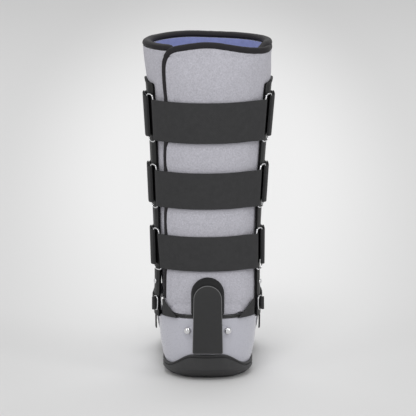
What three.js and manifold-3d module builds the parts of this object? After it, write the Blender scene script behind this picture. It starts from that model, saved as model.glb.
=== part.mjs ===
// Medical walking boot: a padded liner in a rocker-soled shell, held between two side struts
// by webbing straps. Millimetres, +Z up, heel towards -Y, toe towards +Y, floor at Z = 0.
import * as THREE from "three";
import { mergeVertices } from "three/addons/utils/BufferGeometryUtils.js";
import Module from "manifold-3d";

const wasm = await Module();
wasm.setup();

// Driving sizes
const FOOT_LENGTH = 294;
const HEEL_HALF_WIDTH = 64.5;
const RIM_HEIGHT = 432;
const LEG_AXIS = 0.24;
const PLAN_SIDES = 52;
const LEG_SIDES = 32;
const CLEARANCE = 0.3;

// Padded liner
const LINER_WALL = 9;
const LINING_THICKNESS = 1.6;
const LINING_ROWS = 6;
const FLAP_THICKNESS = 4;
const FLAP_RAISE = 6;
const FLAP_CORNER = 15;
const FLAP_EDGE_X = -49;
const FLAP_BOTTOM = 91;
const FLAP_SIDE_BOTTOM = 106;
const FLAP_WRAP = 84;
const FLAP_BELOW_RIM = 5;
const FLAP_COLUMNS = 16;
const FLAP_SEAT = 0.65;
const BINDING_HEIGHT = 7.6;
const BINDING_PROUD = 1.3;
const PIPING_RADIUS = 2.2;
const PIPING_TOP_HEIGHT = 3.6;

// Shell and sole
const SOLE_BASE = 16;
const SHELL_WALL = 3;
const HEEL_RIM = 84;
const HEEL_RIM_SAG = 2;
const EAR_HEIGHT = 99;
const SIDE_WALL_HEIGHT = 47;
const TRIM_HEIGHT = 4.8;
const TRIM_PROUD = 0.8;
const SOLE_LIP = 2.6;
const SOLE_SIDE_TOP = 20;
const SOLE_SIDE_INSET = 6;
const BUMPER_TOP = 36.5;
const BUMPER_HALF_WIDTH = 27;
const BUMPER_SHOULDER = 27;
const HEEL_BEVEL_HEIGHT = 16;
const HEEL_BEVEL_RUN = 26;
const HEEL_BEVEL_REACH = 0.35;
const TOE_ROCKER_HEIGHT = 15;
const TOE_ROCKER_RUN = 62;
const SIDE_BEVEL_HEIGHT = 8;
const SIDE_BEVEL_RUN = 6;
const GUSSET_FOOT_ANGLE = 38;
const GROOVE_WIDTH = 3.2;
const GROOVE_DEPTH = 2.4;
const GROOVE_PITCH = 24.5;
const GROOVE_COUNT = 5;
const GROOVE_SHIFT = -4.7;

// Side struts, seen round the leg as angles from the heel line
const STRUT_THICKNESS = 3;
const STRUT_FAR_ANGLE = 118;
const STRUT_BOTTOM = 79;
const STRUT_TOP = 390;
const STRUT_POINT = 16;
const STRUT_FOLLOWS = 164;
const EAR_BLEND = 40;
const STRUT_LAG_ANGLE = 4;

// Webbing and rings
const STRAP_THICKNESS = 1.6;
const WIRE_RADIUS = 1.2;
const WIRE_SIDES = 6;
const RING_REACH_ANGLE = 13;
const RING_EDGE_ANGLE = 3.6;
const RING_MARGIN = 3;
const RING_CORNER = 3;
const RING_STAND_OFF = 5.4;
const HOOK_RISE_ANGLE = 16;
const FOLD_BACK_ANGLE = 100;
const FRONT_LIFT = 3;
const STRAP_BEND_ANGLE = 26;
const ANKLE_LOW = 87;
const ANKLE_HIGH = 104;
const ANKLE_FRONT_LOW = 104;
const ANKLE_FRONT_HIGH = 118;
const FOREFOOT_FIRST = 13.6;
const FOREFOOT_LAST = 14.6;
const FOREFOOT_REACH = 92;
const FOREFOOT_DROP = 15;

// Heel backstay
const PLATE_BOTTOM = 38.4;
const PLATE_TOP = 127;
const PLATE_HALF_WIDTH = 19.2;
const PLATE_TOP_HALF_WIDTH = 17.4;
const PLATE_THICKNESS = 3.2;
const PAD_HALF_WIDTH = 21.5;
const PAD_TOP = 137;
const PAD_THICKNESS = 10;
const ANCHOR_TIP = 31.5;
const ANCHOR_HALF_HEIGHT = 15;
const ANCHOR_THICKNESS = 2;
const RIVET_X = 26.3;
const RIVET_BELOW_RIM = 16.4;
const RIVET_Z = HEEL_RIM - RIVET_BELOW_RIM;
const RIVET_RADIUS = 4.3;
const RIVET_HEIGHT = 2.6;
const STRUT_RIVET_ANGLE = 70;
const STRUT_RIVET_Z = 124;
const STRUT_RIVET_RADIUS = 3.4;
const STRUT_RIVET_HEIGHT = 1.8;

const SHELL_COLOUR = 0xb0b1b8;
const LINER_COLOUR = 0xb6b4bc;
const LINING_COLOUR = 0x7d84ae;
const BLACK = 0x2b2b2d;
const WEBBING_COLOUR = 0x3d3d3f;
const RUBBER_COLOUR = 0x3e3e3f;
const CHROME_COLOUR = 0xd8d9dc;

// Half outline of the shell's rim, heel to toe: along as a share of the length,
// out as a share of the heel's half width.
const FOOT_PLAN = [
  { along: 0.0, out: 0.0 },
  { along: 0.016, out: 0.38 },
  { along: 0.064, out: 0.71 },
  { along: 0.135, out: 0.925 },
  { along: 0.22, out: 1.0 },
  { along: 0.42, out: 0.985 },
  { along: 0.56, out: 1.01 },
  { along: 0.7, out: 1.055 },
  { along: 0.83, out: 0.97 },
  { along: 0.925, out: 0.72 },
  { along: 0.98, out: 0.39 },
  { along: 1.0, out: 0.0 },
];

// Height of the shell's edge against the share of the foot's length
const SHELL_EDGE = [
  { along: 0.0, height: HEEL_RIM },
  { along: 0.11, height: HEEL_RIM - HEEL_RIM_SAG },
  { along: 0.185, height: HEEL_RIM - HEEL_RIM_SAG },
  { along: 0.225, height: EAR_HEIGHT - 5 },
  { along: 0.25, height: EAR_HEIGHT },
  { along: 0.3, height: EAR_HEIGHT - 3 },
  { along: 0.36, height: HEEL_RIM - 6 },
  { along: 0.48, height: SIDE_WALL_HEIGHT + 12 },
  { along: 0.6, height: SIDE_WALL_HEIGHT + 2 },
  { along: 0.82, height: SIDE_WALL_HEIGHT - 3 },
  { along: 1.0, height: SIDE_WALL_HEIGHT - 4 },
];

// Levels of the shell's wall above the sole's lip, as shares of the way to its edge, with
// how much of the step in at the lip is left there.
const SHELL_WALL_LEVELS = [
  { rise: 0.0, step: 1.0 },
  { rise: 0.14, step: 0.62 },
  { rise: 0.4, step: 0.28 },
  { rise: 1.0, step: 0.0 },
];

// Level sections of the liner's leg from the top down: level as a share of the rim's
// height, back and front as places along the foot from the heel, half width and
// sideways shift as shares of the heel's half width.
const LEG_TABLE = [
  { level: 1.0, back: 0.017, front: 0.488, half: 1.238, shift: 0.0 },
  { level: 0.92, back: 0.015, front: 0.484, half: 1.21, shift: -0.015 },
  { level: 0.8, back: 0.032, front: 0.469, half: 1.145, shift: -0.023 },
  { level: 0.68, back: 0.035, front: 0.449, half: 1.088, shift: -0.035 },
  { level: 0.57, back: 0.045, front: 0.428, half: 1.047, shift: -0.045 },
  { level: 0.47, back: 0.053, front: 0.411, half: 1.012, shift: -0.05 },
  { level: 0.38, back: 0.056, front: 0.401, half: 0.985, shift: -0.05 },
];

// Sections that turn from the leg into the foot. back and front are the two ends of
// the section: along the foot as a share of its length, and up as a share of the ear.
const TURN_TABLE = [
  { backAlong: 0.052, backUp: 1.3, frontAlong: 0.407, frontUp: 1.42, half: 0.95, square: 2.2 },
  { backAlong: 0.034, backUp: 0.98, frontAlong: 0.428, frontUp: 1.27, half: 0.92, square: 2.3 },
  { backAlong: 0.022, backUp: 0.6, frontAlong: 0.462, frontUp: 1.155, half: 0.9, square: 2.4 },
  { backAlong: 0.05, backUp: 0.31, frontAlong: 0.5, frontUp: 1.07, half: 0.86, square: 2.5 },
  { backAlong: 0.13, backUp: 0.2, frontAlong: 0.54, frontUp: 1.0, half: 0.84, square: 2.7 },
  { backAlong: 0.27, backUp: 0.2, frontAlong: 0.59, frontUp: 0.93, half: 0.85, square: 2.9 },
  { backAlong: 0.43, backUp: 0.2, frontAlong: 0.65, frontUp: 0.86, half: 0.87, square: 2.9 },
  { backAlong: 0.6, backUp: 0.2, frontAlong: 0.73, frontUp: 0.79, half: 0.9, square: 2.9 },
  { backAlong: 0.77, backUp: 0.2, frontAlong: 0.82, frontUp: 0.73, half: 0.88, square: 2.8 },
  { backAlong: 0.915, backUp: 0.2, frontAlong: 0.915, frontUp: 0.7, half: 0.76, square: 2.7 },
];

// Bottom and top edge of each heel-side panel, from the top one down, as shares of the
// rim's height.
const STRAP_TABLE = [
  { name: "top", bottom: 0.7257, top: 0.8495 },
  { name: "middle", bottom: 0.5243, top: 0.6354 },
  { name: "lower", bottom: 0.3345, top: 0.4398 },
];
const STRAPS = STRAP_TABLE.map((row) => ({
  name: row.name,
  low: row.bottom * RIM_HEIGHT,
  high: row.top * RIM_HEIGHT,
}));

// The two sides, with the angle round the leg of each strut's heel-side edge
const SIDES = [
  { name: "left", sign: -1, edgeAngle: 60 },
  { name: "right", sign: 1, edgeAngle: 64 },
];

const HEEL_Y = -FOOT_LENGTH / 2;
const radians = THREE.MathUtils.degToRad;
const lerp = THREE.MathUtils.lerp;
const smooth = THREE.MathUtils.smoothstep;
const alongY = (share) => HEEL_Y + share * FOOT_LENGTH;

// Reads one column of a table at a place between its rows
function readTable(rows, key, column, at) {
  const rising = rows[1][key] > rows[0][key];
  const sorted = rising ? rows : [...rows].reverse();
  if (at <= sorted[0][key]) return sorted[0][column];
  for (let i = 1; i < sorted.length; i++) {
    const low = sorted[i - 1];
    const high = sorted[i];
    if (at <= high[key]) {
      const share = (at - low[key]) / (high[key] - low[key]);
      return lerp(low[column], high[column], share);
    }
  }
  return sorted[sorted.length - 1][column];
}

function solidGeometry(points, faces) {
  const geometry = new THREE.BufferGeometry();
  const flat = points.flatMap((p) => [p.x, p.y, p.z]);
  geometry.setAttribute("position", new THREE.Float32BufferAttribute(flat, 3));
  geometry.setIndex(faces);
  return geometry;
}

// Skins a row of rings that all have the same number of points. A looped row closes on
// itself like a tyre; otherwise the first and last ring get a flat fan.
function loft(rings, looped = false) {
  const count = rings[0].length;
  const points = rings.flat();
  const faces = [];
  const spans = looped ? rings.length : rings.length - 1;
  for (let r = 0; r < spans; r++) {
    const here = r * count;
    const next = ((r + 1) % rings.length) * count;
    for (let i = 0; i < count; i++) {
      const j = (i + 1) % count;
      faces.push(here + i, here + j, next + j, here + i, next + j, next + i);
    }
  }
  if (!looped) {
    [rings[0], rings[rings.length - 1]].forEach((ring, end) => {
      const middle = ring.reduce((sum, p) => sum.add(p), new THREE.Vector3());
      points.push(middle.divideScalar(count));
      const centre = points.length - 1;
      const start = end ? (rings.length - 1) * count : 0;
      for (let i = 0; i < count; i++) {
        const j = (i + 1) % count;
        if (end) faces.push(centre, start + i, start + j);
        else faces.push(centre, start + j, start + i);
      }
    });
  }
  return solidGeometry(points, faces);
}

// A sheet with thickness. at(u, v, face) gives a point, u across, v along and face
// 0 on the inner side and 1 on the outer side.
function slab(across, along, at) {
  const rings = [];
  for (let m = 0; m <= along; m++) {
    const ring = [];
    for (let k = 0; k <= across; k++) ring.push(at(k / across, m / along, 0));
    for (let k = across; k >= 0; k--) ring.push(at(k / across, m / along, 1));
    rings.push(ring);
  }
  const count = rings[0].length;
  const geometry = loft(rings, true);
  const kept = Array.from(geometry.index.array).slice(0, along * count * 6);
  [0, along].forEach((m) => {
    for (let k = 0; k < across; k++) {
      const a = m * count + k;
      const b = a + 1;
      const c = m * count + count - 2 - k;
      const d = c + 1;
      if (m) kept.push(a, b, c, a, c, d);
      else kept.push(a, c, b, a, d, c);
    }
  });
  geometry.setIndex(kept);
  return geometry;
}

function toSolid(geometry) {
  const bare = geometry.clone();
  bare.deleteAttribute("normal");
  bare.deleteAttribute("uv");
  const merged = mergeVertices(bare, 1e-4);
  const solid = new wasm.Manifold(
    new wasm.Mesh({
      numProp: 3,
      vertProperties: new Float32Array(merged.attributes.position.array),
      triVerts: new Uint32Array(merged.index.array),
    }),
  );
  return solid;
}

function fromSolid(solid) {
  const mesh = solid.getMesh();
  const geometry = new THREE.BufferGeometry();
  const positions = new Float32Array(mesh.vertProperties);
  geometry.setAttribute("position", new THREE.BufferAttribute(positions, 3));
  geometry.setIndex(Array.from(mesh.triVerts));
  return geometry;
}

// Turns a geometry the right way out, whichever way its rings ran
function outward(geometry) {
  const position = geometry.attributes.position;
  const index = geometry.index.array;
  const [a, b, c] = [new THREE.Vector3(), new THREE.Vector3(), new THREE.Vector3()];
  let volume = 0;
  for (let i = 0; i < index.length; i += 3) {
    a.fromBufferAttribute(position, index[i]);
    b.fromBufferAttribute(position, index[i + 1]);
    c.fromBufferAttribute(position, index[i + 2]);
    volume += a.dot(b.cross(c));
  }
  if (volume < 0) {
    const turned = [];
    for (let i = 0; i < index.length; i += 3) turned.push(index[i], index[i + 2], index[i + 1]);
    geometry.setIndex(turned);
  }
  return geometry;
}

// Foot plan: evenly spaced points with their outward directions
const planCurve = new THREE.CatmullRomCurve3(
  [
    ...FOOT_PLAN.map((row) => planPoint(row, 1)),
    ...FOOT_PLAN.slice(1, -1).reverse().map((row) => planPoint(row, -1)),
  ],
  true,
  "catmullrom",
  0.5,
);

function planPoint(row, sign) {
  return new THREE.Vector3(sign * row.out * HEEL_HALF_WIDTH, alongY(row.along), 0);
}

const PLAN = planCurve.getSpacedPoints(PLAN_SIDES).slice(0, PLAN_SIDES);
const PLAN_NORMALS = PLAN.map((_, i) => {
  const before = PLAN[(i + PLAN_SIDES - 1) % PLAN_SIDES];
  const after = PLAN[(i + 1) % PLAN_SIDES];
  const run = after.clone().sub(before).normalize();
  return new THREE.Vector3(run.y, -run.x, 0);
});

// A point of the plan, moved inwards and lifted
function planAt(i, inset, z) {
  const p = PLAN[i].clone().addScaledVector(PLAN_NORMALS[i], -inset);
  p.z = z;
  return p;
}

const planRing = (inset, z) =>
  PLAN.map((_, i) => planAt(i, typeof inset === "function" ? inset(i) : inset, z(i)));

const planShare = (i) => (PLAN[i].y - HEEL_Y) / FOOT_LENGTH;
const edgeHeight = (i) => readTable(SHELL_EDGE, "along", "height", planShare(i));

const oval = (value, square) => Math.sign(value) * Math.abs(value) ** (2 / square);
const LEG_SQUARE = 2.1;

// All sections of the boot's soft tube, from the rim down the leg and out to the toe
function bootSections() {
  const leg = LEG_TABLE.map((row) => ({
    back: new THREE.Vector3(0, alongY(row.back), row.level * RIM_HEIGHT),
    front: new THREE.Vector3(0, alongY(row.front), row.level * RIM_HEIGHT),
    half: row.half * HEEL_HALF_WIDTH,
    shift: row.shift * HEEL_HALF_WIDTH,
    square: LEG_SQUARE,
  }));
  const turn = TURN_TABLE.map((row) => ({
    back: new THREE.Vector3(0, alongY(row.backAlong), row.backUp * EAR_HEIGHT),
    front: new THREE.Vector3(0, alongY(row.frontAlong), row.frontUp * EAR_HEIGHT),
    half: row.half * HEEL_HALF_WIDTH,
    shift: 0,
    square: row.square,
  }));
  return [...leg, ...turn];
}

// A point on a section at an angle from its back end, pushed out from the surface
function sectionPoint(section, angle, out) {
  const middle = section.back.clone().add(section.front).multiplyScalar(0.5);
  const reach = section.back.clone().sub(middle);
  const depth = reach.length();
  const a = radians(angle);
  const p = middle.addScaledVector(
    reach.normalize(),
    (depth + out) * oval(Math.cos(a), section.square),
  );
  p.x = section.shift + (section.half + out) * oval(Math.sin(a), section.square);
  return p;
}

function sectionRing(section, inset) {
  const ring = [];
  for (let i = 0; i < LEG_SIDES; i++) {
    ring.push(sectionPoint(section, (360 * i) / LEG_SIDES, -inset));
  }
  return ring;
}

// A section between two rows of the boot, by its place counted in rows
function sectionBetween(sections, place) {
  const low = Math.min(Math.floor(place), sections.length - 2);
  const share = place - low;
  const a = sections[low];
  const b = sections[low + 1];
  return {
    back: a.back.clone().lerp(b.back, share),
    front: a.front.clone().lerp(b.front, share),
    half: lerp(a.half, b.half, share),
    shift: lerp(a.shift, b.shift, share),
    square: lerp(a.square, b.square, share),
  };
}

const SECTIONS = bootSections();

// A point on the boot's side at height z: angle in degrees from the heel line, out
// from the liner's surface
function around(z, angle, out) {
  let above = sectionPoint(SECTIONS[0], angle, out);
  if (z >= above.z) return above.setZ(z);
  for (const section of SECTIONS.slice(1)) {
    const below = sectionPoint(section, angle, out);
    if (z >= below.z) return above.lerp(below, (above.z - z) / (above.z - below.z));
    above = below;
  }
  return above.setZ(z);
}

// The angle on the heel side at which the surface lies at a given place across
function angleAcross(z, x, out) {
  const left = around(z, -90, out).x;
  const right = around(z, 90, out).x;
  const middle = (left + right) / 2;
  const share = Math.min(0.98, Math.abs(x - middle) / (right - middle));
  return Math.sign(x - middle) * THREE.MathUtils.radToDeg(Math.asin(share ** (LEG_SQUARE / 2)));
}

// Outward and forward directions, level, at a point round the leg
function directionsAt(z, angle) {
  const outwards = around(z, angle, 1).sub(around(z, angle, 0)).setZ(0).normalize();
  const turn = Math.sign(Math.sin(radians(angle))) || 1;
  const forward = new THREE.Vector3(-outwards.y, outwards.x, 0).multiplyScalar(turn);
  return { outwards, forward };
}

// Sole
const heelShare = (i) => {
  const atHeel = planShare(i) < 0.25 || planShare(i) > 0.8;
  const across = Math.abs(PLAN[i].x);
  return atHeel ? 1 - smooth(across, BUMPER_HALF_WIDTH, BUMPER_HALF_WIDTH + BUMPER_SHOULDER) : 0;
};
const soleInset = (i) => lerp(SOLE_SIDE_INSET, 0, heelShare(i));
const soleTop = (i) => lerp(SOLE_SIDE_TOP, BUMPER_TOP, heelShare(i));

// Height and run of the worn-in bevel round the tread, deepest at heel and toe
function bevelAt(i) {
  const share = planShare(i);
  const heel = 1 - smooth(share, 0, HEEL_BEVEL_REACH);
  const toe = smooth(share, 0.72, 1);
  return {
    height: SIDE_BEVEL_HEIGHT + heel * (HEEL_BEVEL_HEIGHT - SIDE_BEVEL_HEIGHT)
      + toe * (TOE_ROCKER_HEIGHT - SIDE_BEVEL_HEIGHT),
    run: SIDE_BEVEL_RUN + heel * (HEEL_BEVEL_RUN - SIDE_BEVEL_RUN)
      + toe * (TOE_ROCKER_RUN - SIDE_BEVEL_RUN),
  };
}

function soleGeometry() {
  const body = outward(loft([
    planRing((i) => soleInset(i) + bevelAt(i).run, () => 0),
    planRing(soleInset, (i) => bevelAt(i).height),
    planRing(soleInset, soleTop),
    planRing((i) => soleInset(i) + SOLE_LIP, soleTop),
    planRing((i) => soleInset(i) + SOLE_LIP, () => SOLE_BASE),
  ]));
  let solid = toSolid(body);
  const middle = (GROOVE_COUNT - 1) / 2;
  for (let n = 0; n < GROOVE_COUNT; n++) {
    const cutter = new THREE.BoxGeometry(GROOVE_WIDTH, FOOT_LENGTH * 1.1, GROOVE_DEPTH * 2);
    cutter.translate((n - middle) * GROOVE_PITCH + GROOVE_SHIFT, 0, 0);
    solid = solid.subtract(toSolid(cutter));
  }
  return fromSolid(solid);
}

// Shell
const SHELL_FLOOR = SOLE_BASE + CLEARANCE;
const lipInset = (i) => soleInset(i) + SOLE_LIP + CLEARANCE;
const lipTop = (i) => soleTop(i) + CLEARANCE;

function shellRing(row, extra) {
  return planRing(
    (i) => lipInset(i) * row.step + extra,
    (i) => lerp(lipTop(i), edgeHeight(i), row.rise),
  );
}

const shellFloorRing = (extra, z) => planRing((i) => lipInset(i) + extra, () => z);

function shellGeometry() {
  const upwards = SHELL_WALL_LEVELS;
  const downwards = [...upwards].reverse();
  return outward(loft([
    shellFloorRing(0, SHELL_FLOOR),
    ...upwards.map((row) => shellRing(row, 0)),
    ...downwards.map((row) => shellRing(row, SHELL_WALL)),
    shellFloorRing(SHELL_WALL, SHELL_FLOOR + SHELL_WALL),
  ]));
}

// The room inside the shell, opening wide above its edge, that the liner has to fit
function shellRoom() {
  const gap = SHELL_WALL + CLEARANCE;
  const above = 2;
  const wide = -FOOT_LENGTH / 4;
  return toSolid(outward(loft([
    shellFloorRing(gap, SHELL_FLOOR + gap),
    ...SHELL_WALL_LEVELS.map((row) => shellRing(row, gap)),
    planRing(gap, (i) => edgeHeight(i) + TRIM_HEIGHT + above),
    planRing(wide, (i) => edgeHeight(i) + TRIM_HEIGHT + 3 * above),
    planRing(wide, () => RIM_HEIGHT * 1.1),
  ])));
}

function rimTrimGeometry() {
  const inner = SHELL_WALL;
  return outward(loft([
    planRing(-TRIM_PROUD, (i) => edgeHeight(i) + CLEARANCE),
    planRing(-TRIM_PROUD, (i) => edgeHeight(i) + TRIM_HEIGHT * 0.7),
    planRing(0, (i) => edgeHeight(i) + TRIM_HEIGHT),
    planRing(inner - 1, (i) => edgeHeight(i) + TRIM_HEIGHT),
    planRing(inner, (i) => edgeHeight(i) + CLEARANCE),
  ], true));
}

// Liner, its lining and its bound edges
function linerGeometry() {
  const outside = SECTIONS.map((section) => sectionRing(section, 0));
  const inside = [...SECTIONS].reverse().map((section) => sectionRing(section, LINER_WALL));
  const tube = toSolid(outward(loft([...outside, ...inside], true)));
  return fromSolid(tube.intersect(shellRoom()));
}

function liningGeometry() {
  const rows = SECTIONS.slice(0, LINING_ROWS);
  const face = LINER_WALL + CLEARANCE;
  const outside = rows.map((section) => sectionRing(section, face));
  const inside = [...rows].reverse().map((section) => sectionRing(section, face + LINING_THICKNESS));
  return outward(loft([...outside, ...inside], true));
}

// Rounded cap over the top edge of the liner and the lining. It stands a little proud,
// but not where the flap lies over it.
function topBindingGeometry() {
  const inner = -(LINER_WALL + LINING_THICKNESS + 2 * CLEARANCE);
  const steps = 5;
  const rings = [];
  for (let i = 0; i < LEG_SIDES; i++) {
    const angle = (360 * i) / LEG_SIDES;
    const signed = angle > 180 ? angle - 360 : angle;
    const under = signed > flapEdgeAngle(RIM_HEIGHT) - 8 && signed < FLAP_WRAP + 8;
    const outer = under ? 0 : BINDING_PROUD;
    const ring = [];
    for (let k = 0; k <= steps; k++) {
      const turn = Math.PI * (k / steps);
      const out = lerp(inner, outer, (1 + Math.cos(turn)) / 2);
      const p = around(RIM_HEIGHT, angle, out);
      p.z = RIM_HEIGHT + CLEARANCE + BINDING_HEIGHT * Math.sin(turn) ** 0.7;
      ring.push(p);
    }
    rings.push(ring);
  }
  return outward(loft(rings, true));
}

function toeBindingGeometry() {
  const last = SECTIONS[SECTIONS.length - 1];
  const rings = [];
  for (let i = 0; i < LEG_SIDES; i++) {
    const angle = (360 * i) / LEG_SIDES;
    const ring = [];
    for (let k = 0; k <= 4; k++) {
      const turn = Math.PI * (k / 4);
      const shift = -LINER_WALL / 2 - 1.5 + (LINER_WALL / 2) * Math.cos(turn);
      const p = sectionPoint(last, angle, shift);
      p.y += CLEARANCE + 4 * Math.sin(turn);
      ring.push(p);
    }
    rings.push(ring);
  }
  return fromSolid(toSolid(outward(loft(rings, true))).intersect(shellRoom()));
}

// The outer overlap: its free edge runs down the heel side, left of the middle
const flapEdgeAngle = (z) => angleAcross(z, FLAP_EDGE_X, 0);

const flapTop = (angle) => RIM_HEIGHT - FLAP_BELOW_RIM
  + FLAP_RAISE * Math.max(0, Math.cos(radians((angle + 2) * 1.5))) ** 2;

// How far round its corner the flap's top edge has turned, 0 at the side and 1 on top
function flapCornerRise(u) {
  const edge = flapEdgeAngle(RIM_HEIGHT);
  const fromEdge = radians((FLAP_WRAP - edge) * u) * HEEL_HALF_WIDTH * LEG_TABLE[0].half;
  const short = Math.max(0, FLAP_CORNER - fromEdge) / FLAP_CORNER;
  return Math.sqrt(1 - short ** 2);
}

// Height of the flap's top edge, with its rounded corner at the free edge
const flapEdgeHeight = (u) => flapTop(lerp(flapEdgeAngle(RIM_HEIGHT), FLAP_WRAP, u))
  - FLAP_CORNER * (1 - flapCornerRise(u));

// Levels of the flap below its corner are the liner's own, so that it lies flat on it
const FLAP_LOW_STEP = 14.5;
const FLAP_LEVELS = [
  FLAP_BOTTOM,
  FLAP_SIDE_BOTTOM + 4,
  ...Array.from({ length: 3 }, (_, k) => FLAP_SIDE_BOTTOM + (k + 1) * FLAP_LOW_STEP),
  ...SECTIONS.map((section) => section.back.z)
    .filter((z) => z > FLAP_SIDE_BOTTOM + 3.5 * FLAP_LOW_STEP)
    .filter((z) => z < RIM_HEIGHT - FLAP_CORNER - FLAP_BELOW_RIM)
    .reverse(),
];

// The flap's foot reaches down to the rim behind the heel, and ends above the ears
function flapFoot(u) {
  const angle = Math.abs(lerp(flapEdgeAngle(FLAP_BOTTOM), FLAP_WRAP, u));
  return lerp(FLAP_BOTTOM, FLAP_SIDE_BOTTOM, smooth(angle, 34, 56));
}

const flapPointAt = (u, z, out) => around(z, lerp(flapEdgeAngle(z), FLAP_WRAP, u), out);

function flapPoint(u, level, out) {
  if (level === 0) return flapPointAt(u, flapFoot(u), out);
  return flapPointAt(u, level < FLAP_LEVELS.length ? FLAP_LEVELS[level] : flapEdgeHeight(u), out);
}

function flapGeometry() {
  const top = FLAP_LEVELS.length;
  const packed = (u) => u * (0.35 + 0.65 * u);
  const inner = FLAP_SEAT;
  return outward(slab(FLAP_COLUMNS, top, (u, v, face) =>
    flapPoint(packed(u), Math.round(v * top), inner + face * FLAP_THICKNESS)));
}

// Bead that follows a list of points, as a closed ring or with flat ends. radiusAt gives
// its half thickness along the boot's surface, and radius across it.
function bead(points, radius, sides, closed, radiusAt = () => radius) {
  const count = points.length;
  const rings = points.map((p, i) => {
    const before = points[closed ? (i + count - 1) % count : Math.max(0, i - 1)];
    const after = points[closed ? (i + 1) % count : Math.min(count - 1, i + 1)];
    const run = after.clone().sub(before).normalize();
    const centre = new THREE.Vector3(0, alongY(LEG_AXIS), p.z);
    const lift = p.clone().sub(centre).cross(run).normalize();
    const side = run.clone().cross(lift);
    return Array.from({ length: sides }, (_, k) => {
      const turn = (2 * Math.PI * (k + 0.5)) / sides;
      return p.clone()
        .addScaledVector(side, radius * Math.cos(turn))
        .addScaledVector(lift, radiusAt(i) * Math.sin(turn));
    });
  });
  return outward(loft(rings, closed));
}

function flapBindingGeometry() {
  const out = FLAP_SEAT + PIPING_RADIUS;
  const rows = FLAP_LEVELS.length;
  const across = 18;
  const radii = [];
  const points = [];
  // Moves an edge point off the flap: sideways at the free edge, up along the top
  const place = (p, angle, upShare) => {
    const sideways = around(p.z, angle - 1, out).sub(around(p.z, angle, out)).normalize();
    const radius = lerp(PIPING_RADIUS, PIPING_TOP_HEIGHT, upShare);
    const reach = radius + CLEARANCE;
    radii.push(radius);
    points.push(p.addScaledVector(sideways, reach * Math.sqrt(1 - upShare ** 2))
      .add(new THREE.Vector3(0, 0, reach * upShare)));
  };
  FLAP_LEVELS.forEach((z, level) => place(flapPoint(0, level, out), flapEdgeAngle(z), 0));
  for (let k = 0; k <= across; k++) {
    const u = (k / across) ** 1.6;
    const p = flapPoint(u, rows, out);
    place(p, lerp(flapEdgeAngle(p.z), FLAP_WRAP, u), flapCornerRise(u));
  }
  return bead(points, PIPING_RADIUS, 6, false, (i) => radii[i]);
}

// Half width of the shell's rim at a place along the foot
function rimHalfWidth(y) {
  let widest = 0;
  PLAN.forEach((p, i) => {
    const q = PLAN[(i + 1) % PLAN_SIDES];
    if ((p.y - y) * (q.y - y) > 0) return;
    const share = (y - p.y) / (q.y - p.y || 1);
    widest = Math.max(widest, Math.abs(lerp(p.x, q.x, share)));
  });
  return widest;
}

// Struts: flat uprights curved round the leg, standing outside the shell's ears
const strutSeat = (sign) => (sign > 0 ? FLAP_SEAT + FLAP_THICKNESS : 0) + 3 * CLEARANCE;

// A point at a distance out from the strut's inner face. Low down, where the strut is
// fixed to the ear, the face follows the shell's side instead of the liner.
function strutPoint(z, angle, sign, out) {
  const p = around(Math.max(z, STRUT_FOLLOWS), sign * angle, strutSeat(sign) + out).setZ(z);
  const hold = 1 - smooth(z, EAR_HEIGHT, EAR_HEIGHT + EAR_BLEND);
  const shellSide = rimHalfWidth(p.y) + TRIM_PROUD + 4 * CLEARANCE + out;
  const beside = around(z, sign * (angle + STRUT_LAG_ANGLE), strutSeat(sign) + out);
  const x = Math.max(Math.abs(p.x), Math.min(Math.abs(beside.x), shellSide));
  p.x = sign * Math.max(x, lerp(x, shellSide, hold));
  return p;
}

function strutGeometry(side) {
  const middle = (side.edgeAngle + STRUT_FAR_ANGLE) / 2;
  const halfSpan = (STRUT_FAR_ANGLE - side.edgeAngle) / 2;
  const straight = 9;
  const pointed = 4;
  const levels = Array.from({ length: straight }, (_, k) =>
    lerp(STRUT_BOTTOM, STRUT_TOP - STRUT_POINT, k / straight));
  for (let k = 0; k <= pointed; k++) {
    levels.push(STRUT_TOP - STRUT_POINT * (1 - Math.sin((Math.PI * k) / 2 / pointed)));
  }
  const last = levels.length - 1;
  return outward(slab(5, last, (u, v, face) => {
    const z = levels[Math.round(v * last)];
    const intoPoint = Math.max(0, z - (STRUT_TOP - STRUT_POINT)) / STRUT_POINT;
    const width = Math.sqrt(Math.max(0.004, 1 - intoPoint ** 3));
    const angle = middle + (2 * u - 1) * halfSpan * width;
    return strutPoint(z, angle, side.sign, face * STRUT_THICKNESS);
  }));
}

// Webbing swept along a level path: pathAt(v) gives its middle line at a share v of its
// width, and the thickness lies to both sides of that line.
function webbing(pathAt, thickness = STRAP_THICKNESS, levels = 1) {
  const paths = Array.from({ length: levels + 1 }, (_, m) => pathAt(m / levels));
  const last = paths[0].length - 1;
  return outward(slab(last, levels, (u, v, face) => {
    const path = paths[Math.round(v * levels)];
    const k = Math.round(u * last);
    const run = path[Math.min(last, k + 1)].clone().sub(path[Math.max(0, k - 1)]).setZ(0).normalize();
    const across = new THREE.Vector3(run.y, -run.x, 0);
    return path[k].clone().addScaledVector(across, (face - 0.5) * thickness);
  }));
}

const OVER_FLAP = FLAP_SEAT + FLAP_THICKNESS + CLEARANCE;
const TURN_RADIUS = WIRE_RADIUS + CLEARANCE + STRAP_THICKNESS / 2;
const TURN_STEPS = 3;

const nearWireAngle = (side) => side.edgeAngle - RING_EDGE_ANGLE;
const farWireAngle = (side) => nearWireAngle(side) + RING_REACH_ANGLE;

// The two long wires of a ring, each a straight line between two levels
function straightWire(row, z, pointAt) {
  const high = row.high + FRONT_LIFT;
  return pointAt(row.low).lerp(pointAt(high), (z - row.low) / (high - row.low));
}

const nearWire = (row, side, z) => straightWire(row, z, (level) => (row.onShell
  ? strutPoint(level, nearWireAngle(side), side.sign, RING_STAND_OFF)
  : around(level, side.sign * nearWireAngle(side), strutSeat(side.sign) + RING_STAND_OFF)));

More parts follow.
